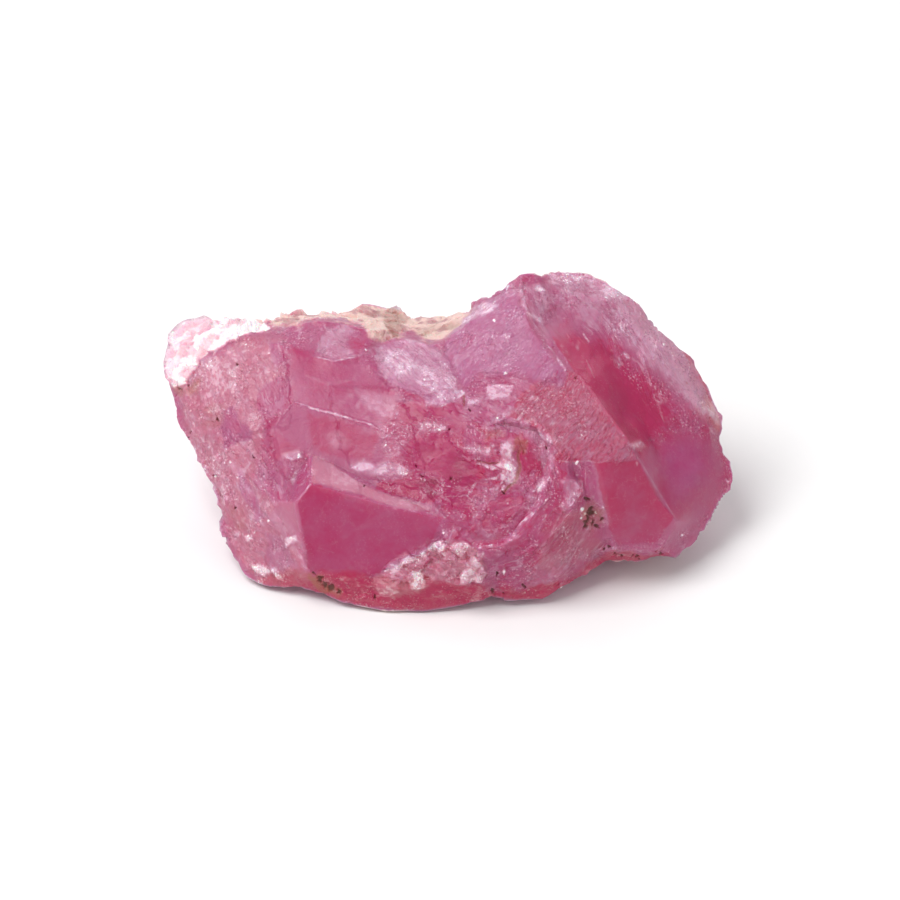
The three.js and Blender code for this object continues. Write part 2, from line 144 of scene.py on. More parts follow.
def crisp_facets(points, faces, sameness, rounds):
    """Turns each patch of faces that look nearly the same way into a clean facet."""
    normals, areas = face_normals(points, faces)
    beside = face_neighbours(faces)
    for _ in range(rounds):
        around = normals[beside]
        apart = ((around - normals[:, None]) ** 2).sum(axis=2)
        weight = areas[beside] * np.exp(-apart / sameness ** 2)
        normals = normals * areas[:, None] + (around * weight[:, :, None]).sum(axis=1)
        normals /= np.linalg.norm(normals, axis=1)[:, None]
    loose = points[:, 2] > ON_GROUND
    shares = np.bincount(faces.reshape(-1), minlength=len(points))[:, None]
    for _ in range(rounds):
        corners = points[faces]
        gap = ((corners.mean(axis=1)[:, None] - corners) * normals[:, None]).sum(axis=2)
        push = gather(faces, gap[:, :, None] * normals[:, None], len(points)) / shares
        points = points + push * loose[:, None]
    return points


def split_faces(faces, middles):
    """New faces, where middles holds each side's middle point, or -1 if it stays whole."""
    made = []
    cut = middles >= 0
    count = cut.sum(axis=1)
    made.append(faces[count == 0])
    for side in range(3):
        after, last = (side + 1) % 3, (side + 2) % 3
        only = (count == 1) & cut[:, side]
        f, m = faces[only], middles[only]
        made.append(np.stack([f[:, side], m[:, side], f[:, last]], axis=1))
        made.append(np.stack([m[:, side], f[:, after], f[:, last]], axis=1))
        both = (count == 2) & cut[:, side] & cut[:, after]
        f, m = faces[both], middles[both]
        made.append(np.stack([m[:, side], f[:, after], m[:, after]], axis=1))
        made.append(np.stack([f[:, side], m[:, side], m[:, after]], axis=1))
        made.append(np.stack([f[:, side], m[:, after], f[:, last]], axis=1))
    f, m = faces[count == 3], middles[count == 3]
    made.append(m)
    for side in range(3):
        made.append(np.stack([f[:, side], m[:, side], m[:, (side + 2) % 3]], axis=1))
    return np.vstack(made)


def split_long_edges(points, faces, limit_at, rounds=12):
    """Halves every edge that is longer than its limit at its middle, until none is."""
    for _ in range(rounds):
        ends = edges_of(faces)
        keys = ends[:, 0].astype(np.int64) * len(points) + ends[:, 1]
        keys, place = np.unique(keys, return_inverse=True)
        edges = np.stack([keys // len(points), keys % len(points)], axis=1)
        middles = points[edges].mean(axis=1)
        normals = point_normals(points, faces)[edges].mean(axis=1)
        lengths = np.linalg.norm(points[edges[:, 0]] - points[edges[:, 1]], axis=1)
        is_long = lengths > limit_at(middles, normals)
        if not is_long.any():
            break
        index = np.full(len(edges), -1)
        index[is_long] = len(points) + np.arange(is_long.sum())
        points = np.vstack([points, middles[is_long]])
        faces = split_faces(faces, index[place.reshape(-1)].reshape(3, -1).T)
    return points, faces


# ------------------------------------------------------------------ noise

CHANCE = np.random.default_rng(5)
CELLS = 64                          # cells each way before the noise repeats; a power of two
LAST = CELLS - 1
SLOPES = CHANCE.normal(size=(CELLS, CELLS, CELLS, 3))
SLOPES = SLOPES / np.linalg.norm(SLOPES, axis=3, keepdims=True)
DICE = CHANCE.random((CELLS, CELLS, CELLS, 7))
SEED_STEP = np.array([12.9, 7.7, 31.3])
NOISE_GAIN = 1.6
ROUGH_NOISE_SUM = 1.5
FLAKE_TILT = 1.6
OUT_OF_REACH = 9.0


def noise(points, size, seed=0):
    """Smooth bumps of about the size given, from -1 to 1."""
    places = points / size + seed * SEED_STEP
    cells = np.floor(places).astype(int)
    x, y, z = (places - cells).T
    fades = [part ** 3 * (part * (part * 6 - 15) + 10) for part in (x, y, z)]
    total = np.zeros(len(points))
    for i, j, k in np.ndindex(2, 2, 2):
        slope = SLOPES[(cells[:, 0] + i) & LAST, (cells[:, 1] + j) & LAST, (cells[:, 2] + k) & LAST]
        height = slope[:, 0] * (x - i) + slope[:, 1] * (y - j) + slope[:, 2] * (z - k)
        for step, fade in zip((i, j, k), fades):
            height = height * (fade if step else 1 - fade)
        total += height
    return np.clip(total * NOISE_GAIN, -1, 1)


def rough_noise(points, size, seed=0, layers=4):
    """Bumps on bumps: each layer is half as large and half as high as the one before."""
    return sum(noise(points, size / 2 ** k, seed + k) / 2 ** k for k in range(layers)) / ROUGH_NOISE_SUM


def drift(points, size, seeds, kind=noise, **settings):
    """Noise that moves places on the picture: a number across and a number down."""
    return np.stack([kind(points, size, seed, **settings) for seed in seeds], axis=1)


def flakes(places, seed=0):
    """Cells about 1 across, like broken flakes. Gives each point its flake's height there, its
    distance from the flake's edge, and the flake's random number."""
    sides = places.shape[1]
    cells = np.floor(places).astype(int)
    nearest = np.full(len(places), OUT_OF_REACH)
    second = np.full(len(places), OUT_OF_REACH)
    height = np.zeros(len(places))
    number = np.zeros(len(places))
    for step in np.ndindex(*[3] * sides):
        cell = cells + np.array(step) - 1
        third = cell[:, 2] if sides == 3 else 0
        dice = DICE[cell[:, 0] & LAST, cell[:, 1] & LAST, (third + 5 * seed) & LAST]
        away = places - cell - dice[:, :sides]
        distance = np.sqrt((away ** 2).sum(axis=1))
        slope = (away * (dice[:, 4:4 + sides] - 0.5)).sum(axis=1)
        level = dice[:, 3] - 0.5 + slope * FLAKE_TILT
        is_nearer = distance < nearest
        second = np.where(is_nearer, nearest, np.minimum(second, distance))
        height = np.where(is_nearer, level, height)
        number = np.where(is_nearer, dice[:, 6], number)
        nearest = np.where(is_nearer, distance, nearest)
    return height, (second - nearest) / 2, number


def smooth_step(value, low, high):
    """0 below low, 1 above high, and a smooth rise between them."""
    part = np.clip((value - low) / (high - low), 0, 1)
    return part * part * (3 - 2 * part)


def strongest(masks, count):
    """The largest, at each of count points, of several masks."""
    value = np.zeros(count)
    for mask in masks:
        value = np.maximum(value, mask)
    return value


# ------------------------------------------------------------------ marks on the show face

THIN_END = 0.35                     # a line's width at its ends, for a width of 1 in its middle


def distance_to_line(pixels, line):
    """How far each point is from a line of pixels, and how far along the line that is, 0 to 1."""
    line = np.array(line, dtype=float)
    spans = np.linalg.norm(np.diff(line, axis=0), axis=1)
    start = np.concatenate([[0], np.cumsum(spans)])
    nearest = np.full(len(pixels), np.inf)
    progress = np.zeros(len(pixels))
    for begin, end, span, before in zip(line[:-1], line[1:], spans, start):
        part = np.clip(((pixels - begin) @ (end - begin)) / span ** 2, 0, 1)
        away = np.linalg.norm(pixels - begin - part[:, None] * (end - begin), axis=1)
        progress = np.where(away < nearest, (before + part * span) / start[-1], progress)
        nearest = np.minimum(nearest, away)
    return nearest, progress


def near(pixels, line, reach):
    """Which points are inside the line's box, widened by reach."""
    (left, top), (right, bottom) = np.min(line, axis=0) - reach, np.max(line, axis=0) + reach
    x, y = pixels.T
    return np.flatnonzero((x > left) & (x < right) & (y > top) & (y < bottom))


def within(pixels, outline, soft):
    """1 inside an outline of pixels and 0 outside, with an edge that is soft pixels wide."""
    value = np.zeros(len(pixels))
    chosen = near(pixels, outline, soft)
    x, y = pixels[chosen].T
    distance, _ = distance_to_line(pixels[chosen], outline + outline[:1])
    inside = np.zeros(len(chosen), dtype=bool)
    for (x1, y1), (x2, y2) in zip(outline, outline[1:] + outline[:1]):
        if y1 != y2:
            inside ^= ((y1 > y) != (y2 > y)) & (x < (x2 - x1) * (y - y1) / (y2 - y1) + x1)
    value[chosen] = smooth_step(np.where(inside, distance, -distance), -soft / 2, soft / 2)
    return value


def on_line(pixels, line, width):
    """1 on a line of pixels, thinning towards its ends, and 0 beyond its width."""
    value = np.zeros(len(pixels))
    chosen = near(pixels, line, width)
    distance, progress = distance_to_line(pixels[chosen], line)
    swell = np.sqrt(np.clip(4 * progress * (1 - progress), 0, 1))
    reach = width * (THIN_END + (1 - THIN_END) * swell)
    value[chosen] = 1 - smooth_step(distance, reach * 0.4, reach)
    return value


def at_spot(pixels, place, width):
    """1 at a pixel, and 0 a little more than the width given away from it."""
    value = np.zeros(len(pixels))
    chosen = near(pixels, [place], width * 1.2)
    distance = np.linalg.norm(pixels[chosen] - place, axis=1)
    value[chosen] = 1 - smooth_step(distance, width * 0.5, width * 1.2)
    return value


# Outlines of the faces, as pixels.
LEDGE = [
    (312, 455), (330, 463), (359, 481), (373, 489), (384, 493), (414, 502), (431, 506), (431, 510),
    (412, 510), (397, 507), (381, 502), (359, 494), (342, 491), (330, 486), (312, 483)]
BLOCK_FRONT = [
    (312, 484), (342, 492), (381, 503), (412, 511), (443, 517), (430, 545), (405, 556), (392, 562),
    (380, 574), (352, 577), (308, 571), (303, 530), (297, 502)]
BLOCK_SIDE = [(282, 501), (296, 501), (308, 570), (285, 538), (265, 519)]
UPPER_FACE = [
    (292, 345), (318, 358), (355, 358), (384, 385), (400, 395), (392, 420), (378, 430), (336, 414),
    (294, 402), (288, 370)]
UPPER_WINDOW = [
    (270, 424), (296, 404), (335, 414), (380, 432), (385, 460), (372, 486), (330, 462), (306, 452),
    (276, 460)]
HOLLOW = [
    (319, 340), (330, 328), (345, 323), (362, 333), (376, 342), (377, 348), (358, 357), (338, 361),
    (315, 357)]
LILAC_FACE = [
    (376, 349), (384, 344), (398, 341), (414, 341), (430, 344), (441, 350), (448, 364), (455, 383),
    (463, 392), (456, 401), (441, 405), (428, 403), (418, 394), (402, 388), (390, 384), (380, 372)]
PEAK_LEFT = [
    (447, 362), (441, 345), (457, 322), (486, 300), (508, 283), (521, 283), (523, 300), (528, 325),
    (545, 350), (572, 374), (556, 386), (530, 380), (505, 374), (480, 372), (464, 388), (455, 377)]
STRIATED = [
    (540, 378), (572, 370), (587, 384), (599, 402), (611, 420), (622, 434), (641, 458), (600, 463),
    (556, 462), (556, 445), (545, 432), (520, 423), (508, 415), (520, 395)]
SCOOP = [
    (540, 325), (556, 318), (575, 322), (598, 342), (612, 362), (634, 384), (652, 408), (658, 428),
    (645, 440), (634, 446), (622, 432), (610, 418), (598, 400), (586, 382), (574, 374), (552, 352)]
RIGHT_LOW = [
    (614, 464), (640, 452), (676, 432), (712, 440), (726, 476), (712, 510), (684, 530), (664, 528),
    (640, 500)]
RIGHT_MIDDLE = [
    (594, 463), (614, 462), (638, 460), (650, 480), (662, 502), (674, 517), (666, 530), (656, 543),
    (618, 545), (609, 528), (603, 500)]
RIGHT_SIDE = [
    (542, 322), (553, 340), (564, 356), (575, 372), (587, 384), (599, 402), (611, 420), (622, 434),
    (634, 446), (641, 458), (652, 478), (664, 500), (676, 519), (700, 530), (748, 500), (748, 390),
    (700, 320), (660, 285), (600, 262), (560, 290)]
FIRST_WINDOW = [(398, 404), (424, 399), (427, 406), (425, 421), (410, 424), (398, 418)]
SECOND_WINDOW = [
    (432, 409), (446, 405), (455, 401), (463, 396), (465, 432), (458, 437), (450, 428), (447, 418),
    (434, 416)]
THIRD_WINDOW = [
    (418, 438), (434, 434), (449, 438), (452, 447), (463, 452), (475, 462), (486, 472), (480, 480),
    (440, 480), (426, 474), (416, 460)]
SADDLE = [
    (262, 318), (290, 313), (316, 306), (347, 303), (380, 298), (396, 298), (412, 312), (440, 309),
    (472, 303), (462, 322), (441, 343), (430, 344), (412, 334), (398, 336), (384, 340), (372, 335),
    (358, 323), (340, 319), (320, 321), (300, 325), (280, 327)]
CRUST_BAND = [
    (174, 386), (178, 365), (188, 345), (203, 330), (226, 318), (250, 320), (270, 322), (262, 333),
    (240, 337), (222, 343), (206, 353), (195, 366), (187, 380)]
CRUST_LOBE = [
    (158, 362), (163, 330), (180, 312), (203, 304), (240, 311), (268, 318), (250, 324), (226, 320),
    (203, 332), (188, 347), (180, 367), (174, 386), (164, 383)]
LEFT_END = [
    (178, 386), (200, 360), (240, 338), (284, 334), (288, 400), (262, 430), (258, 480), (296, 520),
    (310, 578), (262, 586), (225, 548), (215, 495), (185, 440)]
BOTTOM_PATCH = [
    (385, 568), (405, 556), (425, 550), (442, 544), (468, 543), (480, 556), (487, 573), (480, 583),
    (460, 586), (440, 581), (422, 589), (400, 590), (384, 588), (374, 580)]
BOTTOM_STRIP = [
    (300, 572), (380, 574), (500, 590), (560, 580), (610, 552), (664, 550), (660, 562), (610, 566),
    (540, 604), (400, 614), (320, 596), (250, 580)]
TOP_LOBE = [
    (546, 282), (552, 270), (580, 266), (604, 274), (630, 296), (622, 303), (602, 299), (596, 287),
    (580, 284), (562, 287)]
RIGHT_RIM = [
    (640, 300), (660, 318), (730, 400), (738, 440), (715, 436), (694, 404), (664, 350), (636, 322),
    (612, 300)]
SHELL = [
    (478, 412), (505, 412), (535, 420), (558, 440), (568, 470), (584, 480), (586, 505), (560, 545),
    (552, 590), (500, 592), (486, 556), (446, 540), (440, 500), (452, 440)]
SMOOTH_FACES = [SCOOP, BLOCK_FRONT, UPPER_FACE, RIGHT_LOW, RIGHT_MIDDLE, BLOCK_SIDE, LEDGE, UPPER_WINDOW,
                FIRST_WINDOW, SECOND_WINDOW, THIRD_WINDOW]

# Frosted places, some of them painted highlights and painted sheen as marked: how pale each is, how
# soft its edge is in pixels, how far it stands up in millimetres, and its outline.
FROSTED_AND_HIGHLIT = {
    # The lilac face's pale is partly frosting, partly painted sheen of the light it looks up to.
    "lilac face": (0.22, 3, 0.0, LILAC_FACE),
    "lilac face's bright edge": (0.46, 9, 0.0, [
        (440, 354), (448, 362), (456, 382), (464, 393), (457, 402), (442, 406), (428, 407), (431, 396),
        (440, 384), (446, 372)]),
    "lilac face's left": (0.5, 4, 0.0, [
        (384, 350), (404, 350), (420, 362), (410, 374), (398, 380), (388, 368)]),
    "lilac face's flow": (0.42, 3, 0.0, [
        (404, 362), (430, 366), (446, 384), (436, 392), (420, 384), (408, 374)]),
    "veil by the thin line": (0.42, 5, 0.0, [
        (355, 392), (374, 389), (396, 402), (397, 414), (386, 418), (366, 408)]),
    "veil in the middle window": (0.3, 5, 0.0, [
        (326, 432), (338, 428), (350, 440), (344, 450), (330, 448)]),
    "small lilac patch": (0.6, 4, 0.03, [
        (417, 425), (428, 421), (444, 424), (446, 430), (436, 432), (420, 431)]),
    "long wisp": (0.62, 4, 0.03, [
        (350, 467), (363, 461), (376, 465), (389, 460), (402, 465), (412, 471), (404, 476), (390, 476),
        (372, 475), (358, 472)]),
    "wisp's bright start": (0.85, 3, 0.04, [
        (351, 468), (359, 462), (370, 463), (378, 467), (368, 472), (356, 471)]),
    "ridge's haze": (0.12, 8, 0.0, [
        (524, 284), (560, 300), (578, 328), (566, 345), (548, 334), (530, 312)]),
    "crater's haze": (0.3, 8, 0.0, [
        (500, 408), (530, 404), (560, 420), (562, 452), (548, 470), (536, 440), (508, 424)]),
    "patch over the wisp": (0.3, 6, 0.0, [(383, 442), (398, 443), (400, 453), (385, 453)]),
    "ledge": (0.34, 2, 0.0, LEDGE),
    "ledge's near step": (0.44, 1.5, 0.03, [
        (331, 464), (358, 481), (360, 493), (343, 491), (331, 486)]),
    "ledge's middle step": (0.4, 1.5, 0.03, [(367, 486), (384, 494), (383, 502), (370, 497)]),
    "ledge's far step": (0.45, 1.5, 0.03, [(399, 499), (413, 502), (414, 510), (400, 506)]),
    "block side": (0.24, 2, 0.0, [
        (272, 499), (296, 503), (303, 530), (309, 570), (292, 552), (284, 540), (277, 520)]),
    # The left end's pale, with its pale top, is partly frosting, partly painted sheen of the light.
    "left end": (0.27, 16, 0.0, LEFT_END),
    "left end's pale top": (0.46, 14, 0.0, [
        (196, 362), (230, 342), (262, 345), (240, 372), (232, 404), (204, 396), (190, 384)]),
    "left margin": (0.36, 8, 0.0, [
        (180, 400), (198, 400), (216, 450), (232, 500), (222, 520), (200, 470)]),
    "pale band": (0.3, 4, 0.0, [
        (236, 372), (246, 362), (254, 392), (262, 428), (252, 430), (240, 416), (234, 400)]),
    "left facet": (0.22, 2, 0.05, [
        (226, 449), (249, 441), (258, 456), (268, 476), (262, 492), (248, 478), (236, 462)]),
    "long streak": (0.3, 3, 0.06, [
        (228, 452), (238, 462), (248, 482), (256, 508), (264, 545), (254, 542), (246, 515),
        (238, 488)]),
    "second streak": (0.26, 3, 0.05, [
        (252, 472), (264, 480), (276, 500), (282, 524), (272, 522), (262, 500)]),
    # Pale partly by painted sheen of the light; the patch at the top is a painted highlight.
    "peak's left side": (0.22, 12, 0.0, PEAK_LEFT),
    "peak's painted highlight": (0.66, 8, 0.05, [
        (458, 326), (466, 313), (486, 304), (497, 303), (492, 314), (474, 324)]),
    "peak's top": (0.35, 6, 0.0, [(500, 296), (508, 284), (521, 284), (524, 296), (512, 304)]),
    "striated face": (0.2, 8, 0.0, STRIATED),
    "bottom patch": (0.3, 5, 0.06, BOTTOM_PATCH),
    "bottom crystals": (0.6, 2, 0.12, [
        (460, 584), (460, 577), (466, 562), (473, 556), (480, 561), (487, 573), (481, 582),
        (470, 583)]),
    "flat lilac": (0.6, 2, 0.05, [(450, 547), (465, 542), (471, 545), (463, 556), (455, 556)]),
    # A raised knob with a painted highlight.
    "white knob": (0.88, 4, 0.15, [
        (407, 578), (412, 571), (422, 572), (426, 581), (420, 589), (410, 587)]),
    "pale flake": (0.6, 6, 0.08, [(378, 586), (388, 581), (401, 584), (396, 590), (384, 591)]),
    "upper ridge": (0.82, 5, 0.10, [
        (385, 568), (393, 560), (405, 553), (416, 551), (425, 547), (436, 543), (446, 542), (446, 547),
        (434, 550), (418, 556), (404, 562), (394, 568)]),
    "flat flake": (0.62, 1.5, 0.07, [(487, 386), (515, 384), (510, 399), (486, 401)]),
    "flake's patch": (0.5, 3, 0.04, [(465, 398), (484, 397), (483, 404), (468, 406)]),
    "patch over the arc": (0.4, 5, 0.04, [(499, 412), (506, 407), (524, 400), (521, 410), (506, 417)]),
    "chip over the arc": (0.6, 3, 0.04, [(527, 397), (536, 394), (541, 400), (532, 401)]),
    "arc's bright head": (0.6, 5, 0.05, [
        (538, 424), (544, 425), (549, 434), (558, 436), (558, 444), (548, 444), (541, 434)]),
    "arc's tail": (0.3, 6, 0.03, [
        (550, 444), (558, 446), (556, 462), (549, 478), (546, 474), (551, 458)]),
    "arc's knot": (0.7, 4, 0.05, [(543, 478), (548, 480), (546, 487), (540, 493), (536, 490)]),
    "knot's veil": (0.4, 5, 0.04, [(536, 490), (541, 494), (532, 502), (525, 498), (528, 491)]),
    "standing sheet": (0.68, 4, 0.08, [
        (500, 446), (508, 441), (514, 446), (513, 458), (518, 470), (517, 482), (508, 486), (500, 480),
        (503, 470), (496, 466), (503, 460), (500, 452)]),
    "standing sheet's knot": (0.95, 3, 0.06, [
        (504, 463), (510, 461), (514, 465), (513, 472), (505, 471)]),
    "pale lens": (0.55, 5, 0.05, [
        (463, 446), (472, 444), (482, 448), (494, 452), (490, 458), (478, 455), (466, 451)]),
    "lower lens": (0.38, 3, 0.06, [(488, 490), (498, 484), (510, 486), (505, 493), (494, 497)]),
    "outer flake": (0.34, 3, 0.08, [
        (560, 480), (572, 479), (581, 482), (583, 491), (575, 502), (566, 512), (560, 508),
        (566, 496)]),
    "fan's veil": (0.3, 8, 0.0, [(524, 566), (540, 555), (566, 552), (552, 580), (530, 584)]),
    "hollow": (0.12, 12, 0.0, [(296, 334), (316, 324), (342, 322), (350, 340), (346, 354), (318, 354)]),
    "haze between the windows": (0.32, 6, 0.0, [
        (382, 394), (396, 400), (398, 424), (414, 428), (404, 444), (402, 462), (386, 460),
        (376, 430)]),
    "shell's veil": (0.2, 8, 0.0, [(470, 530), (486, 524), (500, 528), (496, 544), (474, 546)]),
    "top lobe": (0.52, 8, 0.02, TOP_LOBE),
    "peak's chip": (0.85, 3, 0.05, [(532, 284), (537, 283), (546, 289), (543, 293), (536, 290)]),
    "peak's other chip": (0.85, 3, 0.05, [(505, 288), (510, 282), (512, 286), (507, 291)]),
    "peak's pale patch": (0.4, 3, 0.03, [(500, 335), (507, 331), (513, 336), (506, 341), (500, 340)]),
    "streak under the peak": (0.5, 4, 0.03, [
        (520, 298), (526, 300), (528, 311), (545, 322), (541, 325), (526, 317)]),
    "low right haze": (0.08, 8, 0.0, [
        (660, 520), (676, 514), (704, 514), (700, 534), (678, 546), (660, 548)]),
    "right middle's left edge": (0.3, 3, 0.0, [
        (592, 462), (598, 463), (604, 484), (612, 526), (606, 524), (598, 490)]),
    "rim's grey patch": (0.5, 5, 0.0, [
        (698, 398), (712, 396), (722, 414), (724, 430), (716, 428), (704, 412)]),
    "scoop's haze": (0.28, 18, 0.0, [
        (600, 300), (640, 318), (690, 370), (706, 410), (690, 410), (650, 370), (620, 335)]),
    "bright chip": (0.8, 2, 0.05, [(618, 322), (621, 323), (624, 333), (620, 332)]),
    "second bright chip": (0.85, 2, 0.05, [(623, 353), (627, 355), (629, 360), (625, 359)]),
    "third chip": (0.45, 3, 0.03, [(638, 346), (643, 344), (646, 356), (641, 355)]),
    "corner chip": (0.5, 3, 0.04, [(626, 444), (640, 440), (645, 447), (638, 450)]),
    "inside the main arc": (0.0, 3, 0.06, [
        (549, 478), (549, 499), (537, 509), (530, 516), (522, 524), (515, 533), (511, 539), (504, 542),
        (496, 546), (478, 548), (466, 536), (480, 505), (520, 490), (536, 474)]),
    "inside the inner arc": (0.0, 3, 0.04, [
        (524, 494), (521, 507), (514, 516), (506, 522), (494, 524), (486, 508), (505, 494)]),
    "right rim": (0.16, 12, 0.0, RIGHT_RIM),
    # The next two are painted highlights on the lower left.
    "lower left painted highlight": (0.8, 4, 0.08, [(250, 563), (262, 564), (276, 571), (266, 577), (254, 572)]),
    "lower left hook": (0.8, 3, 0.08, [(271, 563), (277, 569), (283, 578), (277, 580), (270, 569)]),
    "lower left chip": (0.6, 3, 0.05, [(256, 578), (265, 580), (263, 586), (257, 585)]),
    # A painted highlight.
    "left painted highlight": (0.75, 4, 0.06, [(242, 533), (249, 536), (257, 529), (255, 540), (247, 543)]),
    "edge chip": (0.9, 3, 0.06, [(205, 482), (211, 482), (216, 492), (215, 498), (208, 494)]),
    # Painted highlights on the block's wall and side.
    "block's white corner": (0.5, 3, 0.03, [
        (282, 454), (300, 450), (303, 457), (292, 461), (283, 459)]),
    "block's white wedge": (0.5, 2, 0.0, [(290, 480), (297, 469), (297, 476), (293, 485), (289, 485)]),
    "side's white corner": (0.8, 4, 0.05, [(284, 538), (297, 535), (299, 541), (291, 545), (286, 549)]),
    "side's bright edge": (0.5, 3, 0.0, [(289, 546), (295, 546), (304, 562), (308, 571), (303, 566)]),
}

# Fine bright lines: painted highlights where edges and cracks catch the light, some on bruised edges,
# and pale scratches and clouds: how pale, how wide in pixels, and its course.
BRIGHT_LINES = {
    "upper face's foot": (0.75, 1.3, [(294, 402), (330, 413), (352, 419), (372, 425), (381, 431)]),
    "upper face's corner": (0.5, 0.9, [(294, 402), (284, 414), (276, 425)]),
    "left facet's top": (0.5, 0.9, [(226, 449), (240, 444), (252, 439), (264, 437)]),
    "wall's right edge": (0.5, 0.8, [(312, 456), (312, 482)]),
    "wall's foot": (0.6, 1.1, [(312, 483), (303, 494), (297, 503)]),
    "side's foot": (0.6, 1.0, [(297, 549), (303, 560), (309, 571)]),
    "hollow's foot": (0.6, 0.9, [(315, 357), (335, 361), (356, 357)]),
    "streak in the hollow": (0.4, 1.4, [(320, 323), (335, 335)]),
    "lilac face's edge": (0.7, 1.4, [(450, 370), (456, 384), (464, 393), (456, 402), (440, 406)]),
    "crater's rim": (0.45, 1.2, [(504, 416), (520, 421), (536, 423), (545, 431)]),
    "main arc": (0.65, 1.5, [(549, 499), (537, 509), (530, 516), (522, 524), (511, 539), (504, 542)]),
    "second arc": (0.5, 1.0, [(542, 494), (537, 503), (531, 511)]),
    "inner arc": (0.4, 1.0, [(521, 507), (514, 516), (506, 522)]),
    "arc's foot": (0.4, 1.0, [(478, 548), (487, 547), (496, 546)]),
    "patch's spur": (0.5, 1.0, [(443, 543), (450, 541), (452, 533), (456, 528)]),
    "branching crack": (0.5, 1.0, [(457, 497), (467, 495), (472, 500), (477, 504)]),
    "crack's branch": (0.5, 1.0, [(468, 494), (470, 489), (476, 482)]),
    "outer flake's edge": (0.5, 1.1, [(582, 482), (583, 491), (575, 501), (568, 509)]),
    "fan's first edge": (0.35, 0.9, [(570, 512), (560, 527), (550, 545)]),
    "fan's second edge": (0.35, 0.9, [(563, 512), (555, 524), (549, 536)]),
    "fan's third edge": (0.3, 0.9, [(574, 522), (566, 538), (556, 556)]),
    "fan's fourth edge": (0.3, 0.8, [(578, 530), (570, 548), (560, 564)]),
    "fan's left edge": (0.35, 0.8, [(526, 578), (532, 562), (542, 556), (556, 555)]),
    "striated face's foot": (0.4, 0.9, [(555, 461), (580, 463), (612, 461)]),
    "lens's lower edge": (0.6, 1.3, [(462, 456), (475, 464), (490, 467), (503, 471)]),
    "sheet's first ray": (0.7, 1.2, [(478, 464), (492, 470), (504, 468)]),
    "sheet's second ray": (0.6, 1.2, [(488, 479), (497, 477), (506, 472)]),
    "sheet's third ray": (0.5, 1.2, [(493, 492), (500, 486), (508, 476)]),
    "stroke in the middle": (0.55, 0.9, [(427, 465), (432, 459)]),
    "second stroke in the middle": (0.5, 0.9, [(394, 441), (402, 436)]),
    "third stroke in the middle": (0.5, 0.9, [(434, 495), (440, 482)]),
    "fourth stroke in the middle": (0.45, 0.9, [(470, 493), (477, 482)]),
    "lower edge's end": (0.5, 1.1, [(487, 479), (501, 478)]),
    "fold beside the grains": (0.5, 1.4, [(606, 491), (606, 500), (603, 512)]),
    "crease in the patch": (0.5, 1.1, [(406, 569), (416, 566), (420, 560)]),
    "peak's bright edge": (0.5, 1.1, [(521, 286), (524, 302), (530, 316)]),
    "ridge's bright edge": (0.55, 1.1, [(546, 345), (553, 352), (566, 372)]),
    "facet's edge": (0.36, 0.8, [(634, 452), (641, 462), (655, 486), (666, 504), (676, 519)]),
    "scoop's left edge": (0.3, 0.9, [(574, 372), (587, 384), (599, 402), (611, 420), (622, 434)]),
    "scoop's first scratch": (0.6, 1.0, [(583, 333), (589, 342)]),
    "scoop's second scratch": (0.45, 0.9, [(586, 360), (594, 378)]),
    "scoop's third scratch": (0.45, 0.9, [(560, 360), (567, 371)]),
    "scoop's long scratch": (0.5, 1.0, [(640, 352), (648, 376)]),
    "rim's scratch": (0.35, 1.0, [(672, 384), (680, 398)]),
    "scratch over the crater": (0.5, 0.9, [(457, 438), (460, 446), (466, 450)]),
    "hook over the crater": (0.5, 0.9, [(470, 423), (475, 428), (475, 436)]),
    "right foot's edge": (0.35, 1.0, [(600, 549), (630, 550), (660, 548)]),
    "rim under the rock": (0.5, 1.6, [
        (268, 328), (290, 322), (312, 318), (335, 318), (356, 322), (372, 332)]),
    "cloud in the window": (0.14, 3.0, [(330, 545), (370, 522), (410, 502)]),
    "scratch in the window": (0.3, 0.7, [(318, 548), (334, 553)]),
    "cloud in the upper window": (0.16, 2.0, [(306, 375), (330, 384), (352, 380)]),
}

# Brown fissures, and a painted shadow line under the lens: how dark, how wide in pixels, and its course.
DARK_LINES = {
    "crater's crack": (0.45, 1.2, [(520, 442), (518, 452), (519, 466), (516, 478), (504, 493)]),
    "edge under the lilac face": (0.35, 0.8, [(464, 394), (464, 406)]),
    "painted shadow under the lens": (0.35, 0.9, [(476, 461), (490, 464), (502, 463)]),
}

# Brown grains: how wide each is and where, in pixels.
BROWN_GRAINS = {
    "cluster by the shell": [
        (2.6, (588, 500)), (2.6, (591, 509)), (3.4, (590, 513)), (3.4, (588, 518)), (3.0, (586, 522)),
        (2.4, (585, 526)), (2.2, (602, 520)), (2.0, (596, 526)), (1.6, (593, 523))],
    "right foot": [
        (1.9, (608, 547)), (1.5, (603, 549)), (2.2, (615, 555)), (1.8, (621, 556)), (2.6, (638, 557)),
        (1.6, (632, 556)), (2.4, (661, 555)), (1.6, (656, 551))],
    "shell's foot": [(1.8, (497, 574)), (2.6, (493, 590)), (2.0, (503, 594)), (2.2, (524, 586))],
    "block's foot": [
        (2.2, (314, 573)), (3.0, (320, 579)), (3.8, (325, 584)), (3.6, (331, 588)), (2.4, (338, 592)),
        (1.6, (375, 597))],
    "middle": [
        (1.2, (451, 479)), (1.2, (416, 466)), (1.2, (422, 475)), (1.2, (364, 485)), (1.3, (449, 429)),
        (1.3, (470, 410)), (1.6, (546, 448)), (1.2, (503, 493)), (1.5, (576, 377))],
    "left end": [
        (1.7, (235, 509)), (1.6, (237, 364)), (1.5, (217, 419)), (1.4, (254, 457)), (1.6, (213, 475)),
        (1.9, (220, 496)), (1.5, (180, 389)), (1.3, (188, 386)), (1.3, (188, 438)), (1.2, (191, 432))],
}
